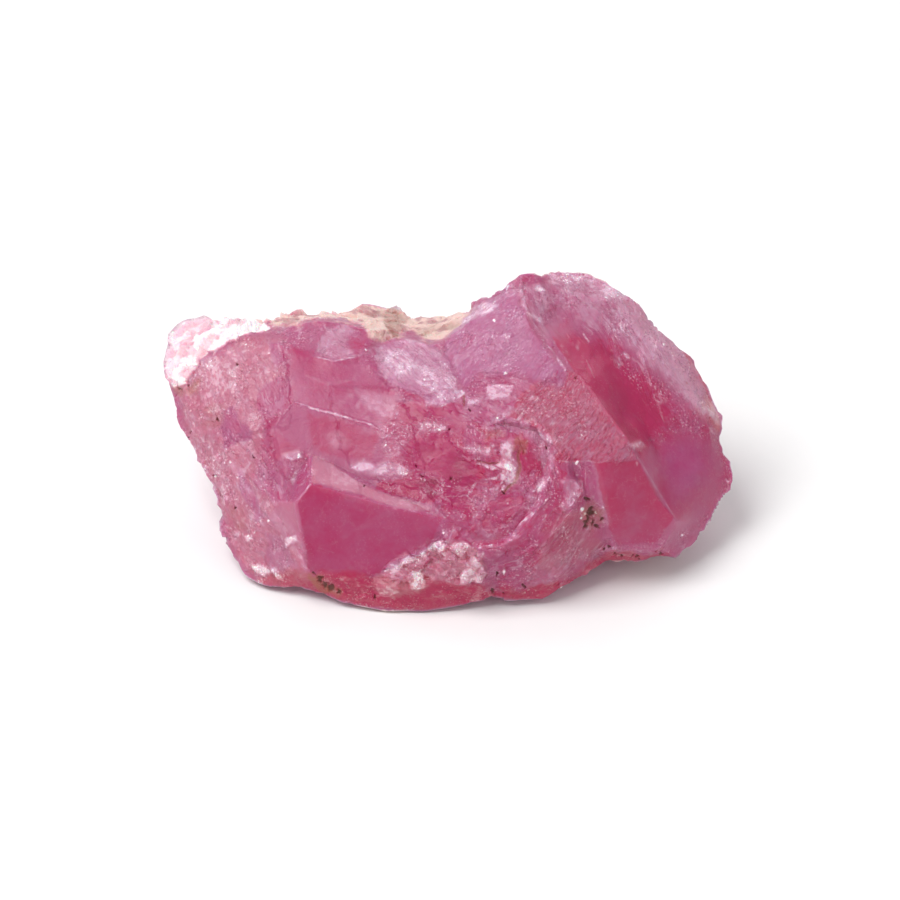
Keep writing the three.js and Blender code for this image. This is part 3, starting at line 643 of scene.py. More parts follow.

# White glints, painted highlights: how wide each is and where, in pixels. More are scattered by chance.
WHITE_GLINTS = {
    "block": [(2.6, (299, 455)), (2.0, (291, 538))],
    "left end": [(1.7, (248, 536)), (1.8, (231, 462)), (1.8, (268, 521)), (1.7, (216, 477))],
    "crater": [(3.2, (509, 467)), (1.9, (443, 533)), (1.7, (497, 418)), (1.9, (504, 571))],
    "grains": [(2.6, (583, 509)), (1.8, (585, 514)), (1.6, (582, 517)), (1.4, (596, 514))],
    "ridge": [(1.8, (578, 463)), (1.6, (637, 463)), (2.2, (493, 321)), (1.8, (507, 373))],
}
SCATTERED_GLINTS = 80
GLINT_WIDTHS = (0.8, 1.3)

# Where the surface is crossed by fine pale threads: how pale they are, and the outline.
THREADED = {
    "middle": (0.16, [
        (330, 385), (400, 385), (440, 380), (470, 400), (500, 440), (500, 500), (450, 545), (420, 500),
        (350, 480)]),
    "upper face": (0.24, [(300, 350), (380, 345), (390, 400), (340, 420), (290, 400)]),
    "left end": (0.25, LEFT_END),
    "peak": (0.2, PEAK_LEFT),
    "shell": (0.22, SHELL),
    "right rim": (0.16, RIGHT_RIM),
    "block": (0.12, BLOCK_FRONT),
    "right low": (0.10, RIGHT_LOW),
    "bottom patch": (0.4, BOTTOM_PATCH),
    "veil": (0.45, [(345, 385), (400, 388), (404, 424), (372, 430), (348, 408)]),
}

# Painted shade, in tan, in the folds of the rock behind the show face: how strong, how soft in pixels,
# and the outline.
SADDLE_FOLDS = {
    "beige triangle": (0.6, 4, [
        (382, 312), (396, 306), (408, 318), (400, 334), (396, 338), (388, 330)]),
    "brown line": (0.9, 2, [(383, 322), (389, 325), (399, 335), (396, 338), (388, 331)]),
    "right stripes": (0.45, 4, [(412, 331), (440, 326), (458, 322), (452, 329), (428, 334)]),
    "left shade": (0.3, 5, [(366, 312), (382, 310), (384, 318), (370, 318)]),
}

# Rusty stains: how strong, how soft in pixels, and the outline.
STAINS = {
    "cluster": (0.3, 6, [(584, 504), (592, 500), (600, 508), (603, 522), (592, 530), (582, 524)]),
    "lower right": (0.07, 14, [(560, 510), (600, 508), (606, 545), (580, 565), (556, 560)]),
    "over the lens": (0.22, 6, [(480, 430), (500, 428), (504, 440), (486, 443)]),
    "crack": (0.35, 5, [(512, 438), (528, 438), (526, 456), (514, 452)]),
    "left": (0.16, 6, [(232, 506), (246, 506), (248, 530), (236, 530)]),
    "far left": (0.35, 6, [(172, 384), (200, 382), (198, 392), (178, 396)]),
    "fan": (0.05, 12, [(560, 506), (596, 512), (600, 548), (572, 562)]),
    "bottom left": (0.5, 5, [(308, 570), (340, 588), (336, 596), (316, 586)]),
    "left dots": (0.14, 5, [(204, 404), (224, 404), (222, 424), (208, 424)]),
}

# Faces that have broken into flakes: the direction that the flakes run in (degrees down from the
# right), their length and width in pixels, their height in millimetres, how often their edges are
# bruised, how fibrous they are, and the outline.
FLAKED = {
    "striated face": (-50, 15, 2.6, 0.06, 0.3, 1.0, STRIATED),
    "left end's streaks": (56, 50, 8, 0.07, 0.3, 0.12, [
        (205, 440), (265, 438), (300, 520), (312, 578), (262, 588), (222, 550)]),
    "left end's top": (68, 26, 11, 0.02, 0.15, 0.05, [
        (176, 386), (200, 352), (246, 334), (286, 336), (290, 425), (215, 450), (196, 440)]),
    "left margin": (64, 16, 8, 0.08, 0.4, 0.0, [
        (172, 384), (200, 384), (236, 500), (256, 580), (232, 560), (205, 480)]),
    "peak's left side": (-45, 40, 10, 0.045, 0.3, 0.15, PEAK_LEFT),
    "peak's ridge": (62, 22, 6, 0.045, 0.3, 0.1, [
        (508, 283), (545, 290), (590, 340), (596, 380), (572, 372), (545, 348)]),
    "scoop": (60, 80, 9, 0.03, 0.12, 0.08, [
        (545, 300), (600, 300), (660, 340), (700, 400), (690, 430), (640, 445), (600, 400),
        (560, 350)]),
    "top lobe": (52, 34, 8, 0.06, 0.3, 0.1, [
        (545, 284), (600, 292), (650, 322), (640, 352), (600, 330), (560, 312)]),
    "right rim": (52, 34, 8, 0.06, 0.2, 0.1, RIGHT_RIM),
    "bottom patch": (20, 14, 9, 0.20, 0.6, 0.0, BOTTOM_PATCH),
    "middle": (20, 24, 9, 0.05, 0.2, 0.1, [
        (400, 400), (470, 385), (520, 372), (548, 388), (520, 410), (500, 500), (470, 545),
        (432, 500)]),
    "crater": (70, 20, 8, 0.08, 0.35, 0.1, [
        (486, 412), (540, 428), (545, 470), (520, 500), (480, 500), (470, 440)]),
    "veil": (20, 30, 9, 0.025, 0.25, 0.0, [
        (330, 385), (400, 385), (440, 440), (432, 500), (400, 480), (345, 470)]),
    "bottom strip": (8, 22, 7, 0.05, 0.3, 0.0, BOTTOM_STRIP),
    "hollow": (18, 20, 8, 0.05, 0.4, 0.1, HOLLOW),
    "lilac face": (40, 46, 7, 0.03, 0.3, 0.3, LILAC_FACE),
}

# The shell-shaped break: the flakes' width, their length along the arcs, height, bruising, how
# fibrous they are, and the outline.
ARCS = {
    "steps": (10, 30, 0.06, 0.35, 0.1, [
        (520, 412), (545, 418), (566, 440), (592, 480), (590, 505), (566, 540), (520, 560), (470, 560),
        (452, 540), (470, 515), (510, 500), (540, 470)]),
    "fan": (5.0, 26, 0.04, 0.3, 0.2, [
        (500, 548), (560, 525), (592, 505), (612, 545), (560, 592), (500, 598), (486, 575)]),
}

# Where the pink is deeper than plain, or paler, some of it painted light, sheen and glow as marked: by
# how much, how warm it is from -1 to 1 (0 leaves it as it is), how soft its edge is in pixels, and
# the outline.
TINTED = {
    "block front": (0.26, 0.05, 3, BLOCK_FRONT),
    "ledge": (0.05, 0.35, 2, LEDGE),
    "upper face": (0.2, -0.15, 6, UPPER_FACE),
    "right side": (0.2, 0.1, 3, RIGHT_SIDE),
    "right middle": (0.38, 0.15, 3, RIGHT_MIDDLE),
    "right middle's bright corner": (-0.14, 0.0, 20, [(630, 510), (664, 512), (668, 540), (624, 546)]),
    "left end": (-0.1, 0.45, 12, LEFT_END),
    "left end's dark face": (0.32, -0.3, 3, [
        (257, 396), (263, 386), (280, 378), (293, 388), (294, 401), (279, 422), (267, 432),
        (259, 415)]),
    "left end's dark top": (0.21, -0.3, 4, [
        (270, 342), (284, 341), (288, 360), (277, 366), (270, 353)]),
    "left end's dark patch": (0.24, -0.3, 3, [
        (222, 410), (233, 405), (238, 418), (250, 431), (250, 440), (236, 443), (225, 449),
        (221, 430)]),
    "window by the facet": (0.16, 0.0, 3, [
        (251, 440), (275, 431), (305, 452), (281, 457), (272, 472), (262, 466), (255, 452)]),
    "dark streak": (0.2, -0.3, 3, [
        (238, 468), (246, 478), (256, 497), (263, 516), (258, 521), (250, 505), (242, 488)]),
    "left end's foot": (0.1, 0.2, 5, [(262, 530), (284, 540), (304, 574), (284, 580), (268, 560)]),
    "block wall": (0.06, 0.0, 2, [(303, 456), (312, 455), (312, 483), (300, 497), (296, 490)]),
    # Paler and warmer on the thin right rim: painted glow of light through the edge.
    "right rim": (-0.3, 0.9, 16, RIGHT_RIM),
    "hollow": (-0.34, 0.0, 3, HOLLOW),
    # Paler and cooler: partly painted sheen of the light on a face that looks up to the left.
    "lilac face": (-0.25, -0.5, 4, LILAC_FACE),
    "pink in the lilac face": (0.3, 0.0, 5, [
        (398, 384), (414, 384), (432, 392), (428, 400), (408, 398)]),
    "shell": (0.2, 0.05, 16, SHELL),
    "striated": (0.2, 0.35, 4, STRIATED),
    "striated face's foot": (0.1, 0.2, 16, [
        (560, 436), (600, 420), (640, 420), (650, 466), (560, 466)]),
    # Cooler: partly painted sheen of the light on a face that looks up to the left.
    "peak's left side": (-0.02, -0.6, 8, PEAK_LEFT),
    "middle": (0.42, -0.2, 16, [
        (385, 405), (440, 410), (476, 470), (470, 520), (430, 500), (385, 462)]),
    # Painted glow.
    "violet glow": (-0.04, -0.5, 18, [(668, 440), (704, 446), (706, 486), (676, 500), (662, 470)]),
    "fan": (-0.12, 0.4, 12, [(540, 520), (590, 505), (604, 548), (560, 580), (534, 560)]),
    "first window": (0.3, -0.2, 2, FIRST_WINDOW),
    "second window": (0.28, -0.2, 2, SECOND_WINDOW),
    "third window": (0.22, -0.2, 2, THIRD_WINDOW),
    "fourth window": (0.44, 0.0, 3, [
        (376, 483), (400, 479), (436, 478), (442, 490), (434, 502), (414, 500), (392, 495),
        (376, 489)]),
    "lens and sheet": (-0.04, 0.2, 6, [(460, 440), (520, 438), (522, 490), (480, 484)]),
    # Paler: painted light on a ridge top that the light doesn't reach.
    "peak's ridge": (-0.22, 0.1, 8, [
        (508, 280), (546, 284), (566, 300), (562, 328), (545, 342), (528, 320), (520, 300)]),
    # Paler: painted light that lifts the shade in the crease under the rim.
    "crater's rim": (-0.4, 0.1, 8, [
        (490, 414), (520, 418), (546, 430), (544, 440), (518, 432), (492, 428)]),
    "crater's right": (0.1, 0.1, 6, [
        (516, 424), (534, 430), (546, 444), (546, 470), (534, 484), (522, 470)]),
    "hollow's corner": (0.4, 0.0, 6, [
        (351, 328), (362, 332), (372, 338), (379, 345), (370, 351), (354, 353), (346, 342)]),
    "bottom patch": (-0.05, 0.5, 5, BOTTOM_PATCH),
    "block side": (0.0, 0.3, 3, BLOCK_SIDE),
    "middle window": (0.34, -0.1, 6, [
        (306, 408), (340, 418), (378, 432), (372, 460), (340, 462), (310, 450)]),
    "bottom strip": (0.3, 0.8, 10, BOTTOM_STRIP),
}

# Soft tints that end sharply at the right side's left edge, some painted shade and glow as marked: by
# how much, how soft, and the outline.
SIDE_TINTS = {
    # Deeper over the scoop, which looks away from the light: painted shade.
    "scoop's left strip": (0.1, 9, [
        (546, 330), (566, 346), (584, 364), (602, 388), (620, 412), (640, 436), (652, 448), (636, 454),
        (610, 430), (576, 384), (548, 350)]),
    "scoop's upper part": (0.16, 12, [
        (556, 338), (580, 338), (604, 350), (614, 366), (590, 374), (568, 366)]),
    "scoop": (0.24, 20, [
        (538, 338), (575, 342), (602, 352), (622, 364), (646, 376), (664, 410), (662, 430), (650, 450),
        (630, 456), (600, 430), (576, 392), (545, 360)]),
    "scoop's lower part": (0.1, 14, [
        (568, 366), (600, 360), (626, 382), (646, 420), (642, 446), (620, 446), (590, 420),
        (572, 392)]),
    # Paler towards the thin right rim: painted glow of light through the edge.
    "above the scoop": (-0.56, 22, [
        (560, 270), (610, 280), (670, 330), (700, 380), (715, 420), (680, 400), (644, 356), (614, 336),
        (580, 326), (562, 312)]),
    "right low": (0.02, 24, RIGHT_LOW),
    "low corner": (-0.12, 24, [
        (664, 528), (690, 512), (714, 500), (740, 480), (740, 540), (690, 560), (650, 560)]),
}


# ------------------------------------------------------------------ shaping

stone_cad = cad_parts["cobaltoan_calcite"]
cad_points, cad_faces = read_mesh(stone_cad)
LOOK_AT = aim(cad_points)
SHELL_MIDDLE = (482, 482)           # the pixel that the arcs of the shell-shaped break run round

# The longest edges of the fine mesh, in millimetres.
FIRST_EDGE = 0.6
FRONT_EDGE = 0.21
FINE_EDGE = 0.11
SPOT_EDGE = FINE_EDGE * 0.7
SMOOTH_EDGE = 0.34
BACK_EDGE = 0.55
CRISP_EDGE = 0.15
CRISP_REACH = 2.5                   # pixels each side of a crisp outline
CRISP_SOFT = 4                      # outlines with softer edges than this many pixels aren't crisp
SMOOTH_SOFT = 8                     # pixels over which a smooth face fades out
AT_BACK = -0.05                     # faces that look at the camera less than this are at the back
SAMENESS = 0.3                      # normals that differ by less than about this share a facet
CRISP_ROUNDS = 10
SHARP_ANGLE = 24                    # degrees
FLAKE_SIZE = 0.9                    # millimetres, where the surface has no flakes of its own
FLAKE_SOFT = 8                      # pixels over which flakes fade out
SMALL_FLAKES = 2.3                  # how much smaller the flakes on the flakes are
ARC_TURN = 70                       # pixels along an arc, for each radian round the shell's middle

Flakes = namedtuple("Flakes", "height bruise number streak grain fibred")


def crisp_outlines():
    rows = [row[1:] for row in FROSTED_AND_HIGHLIT.values()] + [row[2:] for row in TINTED.values()]
    return [row[-1] for row in rows if row[0] <= CRISP_SOFT]


def all_spots(groups):
    return [spot for group in groups.values() for spot in group]


def scattered_glints():
    """Tiny painted glints strewn over the face: how wide each is and where, in pixels."""
    chance = np.random.default_rng(8)
    places = chance.uniform((190, 300), (710, 590), size=(SCATTERED_GLINTS, 2))
    widths = chance.uniform(*GLINT_WIDTHS, SCATTERED_GLINTS)
    return [(width, tuple(place)) for width, place in zip(widths, places)]


def shown(normals, low=-0.05, high=0.15):
    """1 where the surface looks at the camera, 0 where it looks away."""
    return smooth_step(normals @ OUT, low, high)


def build_surface():
    """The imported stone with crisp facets, split finely where its marks need it."""
    points, faces = split_long_edges(cad_points, cad_faces, lambda middles, normals: FIRST_EDGE)
    points = crisp_facets(points, faces, SAMENESS, CRISP_ROUNDS)
    crisp = crisp_outlines()

    def limit(middles, normals):
        limits = np.full(len(middles), BACK_EDGE)
        front = np.flatnonzero(normals @ OUT > AT_BACK)
        pixels = seen_at(middles, LOOK_AT)[front]
        size = np.full(len(front), FRONT_EDGE)
        for outline in SMOOTH_FACES:
            size += (SMOOTH_EDGE - FRONT_EDGE) * within(pixels, outline, SMOOTH_SOFT)
        for _, width, line in [*BRIGHT_LINES.values(), *DARK_LINES.values()]:
            size = np.where(on_line(pixels, line, width + 5) > 0.3, FINE_EDGE, size)
        for outline in crisp:
            chosen = near(pixels, outline, CRISP_REACH)
            distance, _ = distance_to_line(pixels[chosen], outline + outline[:1])
            finer = np.minimum(size[chosen], CRISP_EDGE)
            size[chosen] = np.where(distance < CRISP_REACH, finer, size[chosen])
        for width, place in all_spots(BROWN_GRAINS) + all_spots(WHITE_GLINTS):
            size = np.where(at_spot(pixels, place, width + 1) > 0.3, SPOT_EDGE, size)
        limits[front] = size
        return limits

    return split_long_edges(points, faces, limit)


def flaked(points, is_shown):
    """The flakes of every face: their height, bruised edges, random numbers and streaks, and the
    place in the grain of the stone, with how fibrous it is."""
    pixels = seen_at(points, LOOK_AT)
    count = len(points)
    bend = drift(points, 2.4, (61, 62))
    frayed = drift(points, 0.6, (63, 68), rough_noise)
    height, bruise, number, streak = (np.zeros(count) for _ in range(4))
    grain, fibred = points / FLAKE_SIZE + 50, np.zeros(count)
    most = np.full(count, 0.5)
    dotted = smooth_step(noise(points, 0.3, 65), -0.1, 0.5)

    def lay(outline, places_of, width, depth, often, threads, seed):
        here = within(pixels + 8 * bend + 4 * frayed, outline, FLAKE_SOFT) * is_shown
        chosen = np.flatnonzero(here > 0.01)
        here, places = here[chosen], places_of(chosen)
        level, edge, dice = flakes(places, seed)
        small, _, small_dice = flakes(places * SMALL_FLAKES, seed + 1)
        height[chosen] += here * depth * (level + 0.45 * small)
        rim = 1 - smooth_step(edge * width, 0.0, 1.3)
        rim = rim * smooth_step(level, -0.1, 0.3) * (dice < often * 1.5) * dotted[chosen]
        bruise[chosen] = np.maximum(bruise[chosen], here * rim)
        number[chosen] += here * (0.7 * dice + 0.3 * small_dice - 0.5)
        flat = np.column_stack([places, np.full(len(places), seed * 3.7)])
        streak[chosen] += here * threads * rough_noise(flat, 0.8, seed, layers=3)
        is_main = here > most[chosen]
        grain[chosen] = np.where(is_main[:, None], flat, grain[chosen])
        most[chosen] = np.maximum(most[chosen], here)
        fibred[chosen] = np.maximum(fibred[chosen], here * threads)

    for seed, (angle, length, width, depth, often, threads, outline) in enumerate(FLAKED.values()):
        turn = math.radians(angle)
        axes = np.array([[math.cos(turn) / length, -math.sin(turn) / width],
                         [math.sin(turn) / length, math.cos(turn) / width]])
        placed = (pixels + 6 * bend + 2 * frayed) @ axes
        lay(outline, lambda chosen: placed[chosen], width, depth, often, threads, seed)
    for seed, (width, length, depth, often, threads, outline) in enumerate(ARCS.values()):
        def places_of(chosen):
            spread = (pixels + 6 * bend + 1.5 * frayed)[chosen] - SHELL_MIDDLE
            radius = np.linalg.norm(spread, axis=1)
            turn = np.arctan2(spread[:, 1], spread[:, 0])
            return np.stack([turn * ARC_TURN / length, radius / width], axis=1)
        lay(outline, places_of, width, depth, often, threads, 20 + seed)
    return Flakes(height, bruise, number, streak, grain, fibred)


def bulge(points, faces, normals, rounds=3):
    """How sharply the surface is folded at each point: above 0 on ridges, below 0 in creases."""
    corner = points[faces]
    around = corner.sum(axis=1)[:, None] - corner
    shares = 2 * np.bincount(faces.reshape(-1), minlength=len(points))[:, None]
    inward = gather(faces, around, len(points)) / shares - points
    lengths = np.linalg.norm(corner - np.roll(corner, 1, axis=1), axis=2)
    size = gather(faces, lengths[:, :, None], len(points))[:, 0] * 2 / shares[:, 0]
    fold = -(inward * normals).sum(axis=1) / size
    for _ in range(rounds):
        values = fold[faces][:, :, None]
        total = gather(faces, values.sum(axis=1)[:, None] - values, len(points))
        fold = (fold + (total / shares)[:, 0]) / 2
    return fold


# Heights of the small forms, in millimetres.
ROUGH_HEIGHT = 0.05
FRONT_BREAK, BACK_BREAK = 0.03, 0.22
BACK_SMALL_BREAK = 0.05
FROST_HEIGHT = 0.07
CRUST_LUMPS, CRUST_GRAINS = 0.22, 0.12
ROCK_LUMPS, ROCK_ROUGHNESS = 0.12, 0.10
GRAIN_HOLLOW = 0.10
CHIP_DEPTH = 0.08
CRACK_DEPTH = 0.05
LINE_HEIGHT = 0.04
# The sizes of broken lumps, in millimetres.
COARSE, SMALL, TINY = 1.5, 0.55, 0.3


def raise_details(points, normals, masks, fold, flake):
    """Moves every point in or out by the small forms of its place."""
    pixels = seen_at(points, LOOK_AT)
    is_shown = shown(normals, -0.1, 0.2)
    off_ground = smooth_step(points[:, 2], 0.0, 1.0)
    broken = masks["broken"]
    coarse, _, _ = flakes(points / COARSE, 30)
    small, _, _ = flakes(points / SMALL, 31)
    tiny, _, _ = flakes(points / TINY, 32)

    height = ROUGH_HEIGHT * rough_noise(points, 1.3, 11) * broken
    height += coarse * (FRONT_BREAK * broken * is_shown + BACK_BREAK * (1 - is_shown))
    height += flake.height
    height += BACK_SMALL_BREAK * (1 - is_shown) * small
    height += FROST_HEIGHT * smooth_step(masks["frost_and_glints"], 0.5, 0.9) * tiny
    height += masks["crust"] * (CRUST_LUMPS * small + CRUST_GRAINS * tiny)
    height += masks["rock"] * (ROCK_LUMPS * small + ROCK_ROUGHNESS * rough_noise(points, 1.2, 83))
    height -= GRAIN_HOLLOW * masks["brown"]
    chips = smooth_step(fold, 0.03, 0.1) * smooth_step(noise(points, 0.8, 91), 0.0, 0.6)
    height -= CHIP_DEPTH * chips
    for _, width, line in DARK_LINES.values():
        height -= CRACK_DEPTH * on_line(pixels, line, width * 1.6) * is_shown
    for strength, width, line in BRIGHT_LINES.values():
        height += LINE_HEIGHT * strength * on_line(pixels, line, width * 1.5) * is_shown
    frayed = pixels + 2.4 * drift(points, 0.7, (44, 45), rough_noise)
    for _, _, rise, outline in FROSTED_AND_HIGHLIT.values():
        if rise:
            height += rise * within(frayed, outline, 2.5) * is_shown
    return points + normals * (height * off_ground)[:, None]


# ------------------------------------------------------------------ painting

DEEPEST_TONE = 1.6                  # the tone that the mask's 1 stands for
PLAIN_TONE = 0.5
STRAYING = 6                        # pixels that soft marks wander by
FRAYING = (0.8, 2.4)                # pixels that crisp edges fray by: everywhere, and where broken
SMOOTHNESS = 0.85                   # how free of breaks the smooth faces are
HIDDEN_FROST = 0.25
# How pale the painted highlight along convex ridges is.
RIDGE_HIGHLIGHT = 0.25
BRUISE_FROST = 0.45


class Places:
    """Where each point is seen, how smooth its face is, and where its marks stray to."""

    def __init__(self, points, normals):
        self.points = points
        self.count = len(points)
        self.pixels = seen_at(points, LOOK_AT)
        self.is_shown = shown(normals)
        self.hidden = 1 - self.is_shown
        smooth = (within(self.pixels, outline, SMOOTH_SOFT) * self.is_shown for outline in SMOOTH_FACES)
        self.clean = strongest(smooth, self.count)
        self.broken = 1 - SMOOTHNESS * self.clean
        self.broad = drift(points, 2.2, (3, 9))
        jagged = drift(points, 0.9, (14, 20), rough_noise, layers=5)
        everywhere, if_broken = FRAYING
        self.strayed = self.pixels + STRAYING * self.broad + STRAYING * jagged
        self.nearly = self.pixels + (everywhere + if_broken * (1 - self.clean))[:, None] * jagged

    def inside(self, outline, soft, width=None):
        """How far inside an outline each point is: soft edges stray, and crisp ones only fray."""
        return within(self.strayed if soft > CRISP_SOFT else self.nearly, outline, width or soft)


def threads_on(at):
    """Fine pale threads, where the surface is crossed by them."""
    webbed = strongest((strength * within(at.strayed, outline, 14) for strength, outline
                        in THREADED.values()), at.count)
    thread = 1 - np.abs(rough_noise(at.points + 0.3 * at.broad[:, :1], 1.5, 101, layers=3))
    other = 1 - np.abs(rough_noise(at.points, 0.8, 105, layers=2))
    thread = np.maximum(smooth_step(thread, 0.93, 0.995), 0.7 * smooth_step(other, 0.94, 0.995))
    return webbed * (thread * smooth_step(rough_noise(at.points, 1.0, 107), -0.1, 0.4))


def frost_and_glints_on(at, fold, flake):
    """How frosted each point is by bruises, veils and threads, with painted glints and edge highlights."""
    points = at.points
    frost_and_glints = strongest((strength * at.inside(outline, soft, soft * 1.4) for strength, soft, _, outline
                       in FROSTED_AND_HIGHLIT.values()), at.count)
    veil = 0.5 * rough_noise(points, 0.9, 21) + 0.35 * flake.number + 0.7 * flake.streak
    frost_and_glints = frost_and_glints * np.clip(0.95 + 0.8 * veil, 0.25, 1.5)
    dotted = 0.4 + 0.6 * smooth_step(noise(points, 0.4, 25), -0.3, 0.3)
    # Painted highlights where edges and cracks catch the light, with pale scratches and clouds.
    for strength, width, line in BRIGHT_LINES.values():
        frost_and_glints = np.maximum(frost_and_glints, strength * dotted * on_line(at.nearly, line, width * 1.2))
    frost_and_glints = np.maximum(frost_and_glints, threads_on(at))
    # Painted glints, listed and scattered.
    for width, place in all_spots(WHITE_GLINTS):
        frost_and_glints = np.maximum(frost_and_glints, at_spot(at.nearly, place, width))
    for width, place in scattered_glints():
        frost_and_glints = np.maximum(frost_and_glints, at_spot(at.nearly, place, width) * (1 - at.clean))
    frost_and_glints = np.maximum(frost_and_glints, BRUISE_FROST * flake.bruise) * at.is_shown
    # Painted highlight along convex ridges.
    ridged = smooth_step(fold + 0.05 * rough_noise(points, 0.7, 5), 0.05, 0.13)
    frost_and_glints = np.clip(np.maximum(frost_and_glints, RIDGE_HIGHLIGHT * ridged), 0, 1)
    return np.maximum(frost_and_glints, at.hidden * (HIDDEN_FROST + 0.3 * rough_noise(points, 2.5, 27)))


def crust_and_rock_on(at):
    """The grainy crust of the left tip, and the cream rock of the saddle and the back."""
    points = at.points
    band = within(at.strayed, CRUST_BAND, 14) + 0.4 * rough_noise(points, 0.6, 46)
    lobe = 0.85 * within(at.strayed, CRUST_LOBE, 10)
    crust = np.maximum(smooth_step(band, 0.35, 0.6), lobe) * at.is_shown
    patches = rough_noise(points, 7, 29) + 0.25 * (points[:, 2] - 6) / 6
    behind = smooth_step(patches, 0.05, 0.35) * at.hidden
    crust = np.maximum(crust, 0.6 * behind * smooth_step(-points[:, 0], -4, 12))
    return crust, np.maximum(within(at.strayed, SADDLE, 8) * at.is_shown, behind)


def brown_on(at):
    """The brown grains and fissures, a painted shadow line, and the rusty stains round them."""
    ragged = at.pixels + 2.4 * drift(at.points, 0.25, (41, 42))
    brown = strongest((at_spot(ragged, place, width) for width, place in all_spots(BROWN_GRAINS)), at.count)
    stain = strongest((strength * within(at.strayed, outline, soft) * at.is_shown
                       for strength, soft, outline in STAINS.values()), at.count)
    stain = stain * np.clip(1 + rough_noise(at.points, 0.6, 43), 0.3, 1.6)
    # The dark lines are brown fissures, but for the painted shadow line under the lens.
    for strength, width, line in DARK_LINES.values():
        brown = np.maximum(brown, 0.5 * strength * on_line(at.nearly, line, width * 1.2))
        stain = np.maximum(stain, strength * on_line(at.nearly, line, width * 1.8))
    return brown * at.is_shown, stain


def tints_on(at, frost_and_glints, flake):
    """How deep and how warm the pink is, and the frost, which the deep crisp patches thin."""
    tone, warm = np.full(at.count, PLAIN_TONE), np.zeros(at.count)
    for change, warmth, soft, outline in TINTED.values():
        here = at.inside(outline, soft) * at.is_shown
        tone += change * here
        if change > 0.2 and soft <= CRISP_SOFT:
            frost_and_glints = frost_and_glints * (1 - 0.6 * here)
        warm += (warmth - warm) * here if warmth else 0.0
    side = within(at.nearly, RIGHT_SIDE, 3) * at.is_shown
    # Painted shade on the scoop and painted glow towards the rim, ending at the right side's left edge.
    for change, soft, outline in SIDE_TINTS.values():
        tone += change * within(at.strayed, outline, soft) * side
    points, clean = at.points, at.clean
    tone += 0.10 * rough_noise(points, 3.5, 33) + 0.12 * rough_noise(points, 1.8, 34) - 0.15 * at.hidden
    by_flake = (0.16 * flake.number + 0.25 * flake.streak) * (1 - 0.85 * clean)
    tone += 0.16 * rough_noise(points, 0.8, 35) * (1 - 0.7 * clean) - by_flake
    return tone, 0.5 + 0.5 * warm, frost_and_glints


def paint(points, normals, fold, flake):
    """What the surface is like at each point: a number from 0 to 1 for each of the masks."""
    at = Places(points, normals)
    crust, rock = crust_and_rock_on(at)
    brown, stain = brown_on(at)
    tone, warm, frost_and_glints = tints_on(at, frost_and_glints_on(at, fold, flake), flake)
    # Painted shade in the folds of the rock.
    creased = at.nearly + 3 * drift(points, 0.7, (13, 19), rough_noise)
    crease_shade = strongest((strength * within(creased, outline, soft) * at.is_shown
                        for strength, soft, outline in SADDLE_FOLDS.values()), at.count)
    gritty = at.broken * smooth_step(rough_noise(points, 1.3, 51, layers=3), -0.25, 0.25)
    rimmed = at.broken * smooth_step(rough_noise(points, 0.9, 53, layers=3), 0.05, 0.4)
    marbled = 0.5 + 0.7 * rough_noise(points, 1.1, 55)
    # frost_and_glints holds painted glints and highlights; fold is painted shade in the rock's folds.
    masks = {"frost_and_glints": frost_and_glints, "crust": crust, "rock": rock, "fold": crease_shade, "brown": brown, "stain": stain,
             "tone": tone / DEEPEST_TONE, "warm": warm, "broken": at.broken, "fibred": flake.fibred,
             "gritty": gritty, "rimmed": rimmed, "marbled": marbled}
    return {name: np.clip(values, 0, 1) for name, values in masks.items()}


def make_stone():
    """The fine mesh, with its masks and its grain as attributes for the material."""
    points, faces = build_surface()
    normals = point_normals(points, faces)
    fold = bulge(points, faces, normals)
    flake = flaked(points, shown(normals))
    masks = paint(points, normals, fold, flake)
    points = raise_details(points, normals, masks, fold, flake)
    print("surface:", len(points), "points", len(faces), "triangles")
    mesh = bpy.data.meshes.new("calcite_surface")
    mesh.from_pydata((points * MM).tolist(), [], faces.tolist())
    mesh.update()
    for name, values in masks.items():
        layer = mesh.attributes.new(name, "FLOAT", "POINT")
        layer.data.foreach_set("value", values.astype(np.float32))
    layer = mesh.attributes.new("grain", "FLOAT_VECTOR", "POINT")
    layer.data.foreach_set("vector", flake.grain.astype(np.float32).reshape(-1))
    mesh.shade_smooth()
    mesh.set_sharp_from_angle(angle=math.radians(SHARP_ANGLE))
    stone = bpy.data.objects.new("calcite_surface", mesh)
    bpy.context.collection.objects.link(stone)
    return stone


# ------------------------------------------------------------------ material


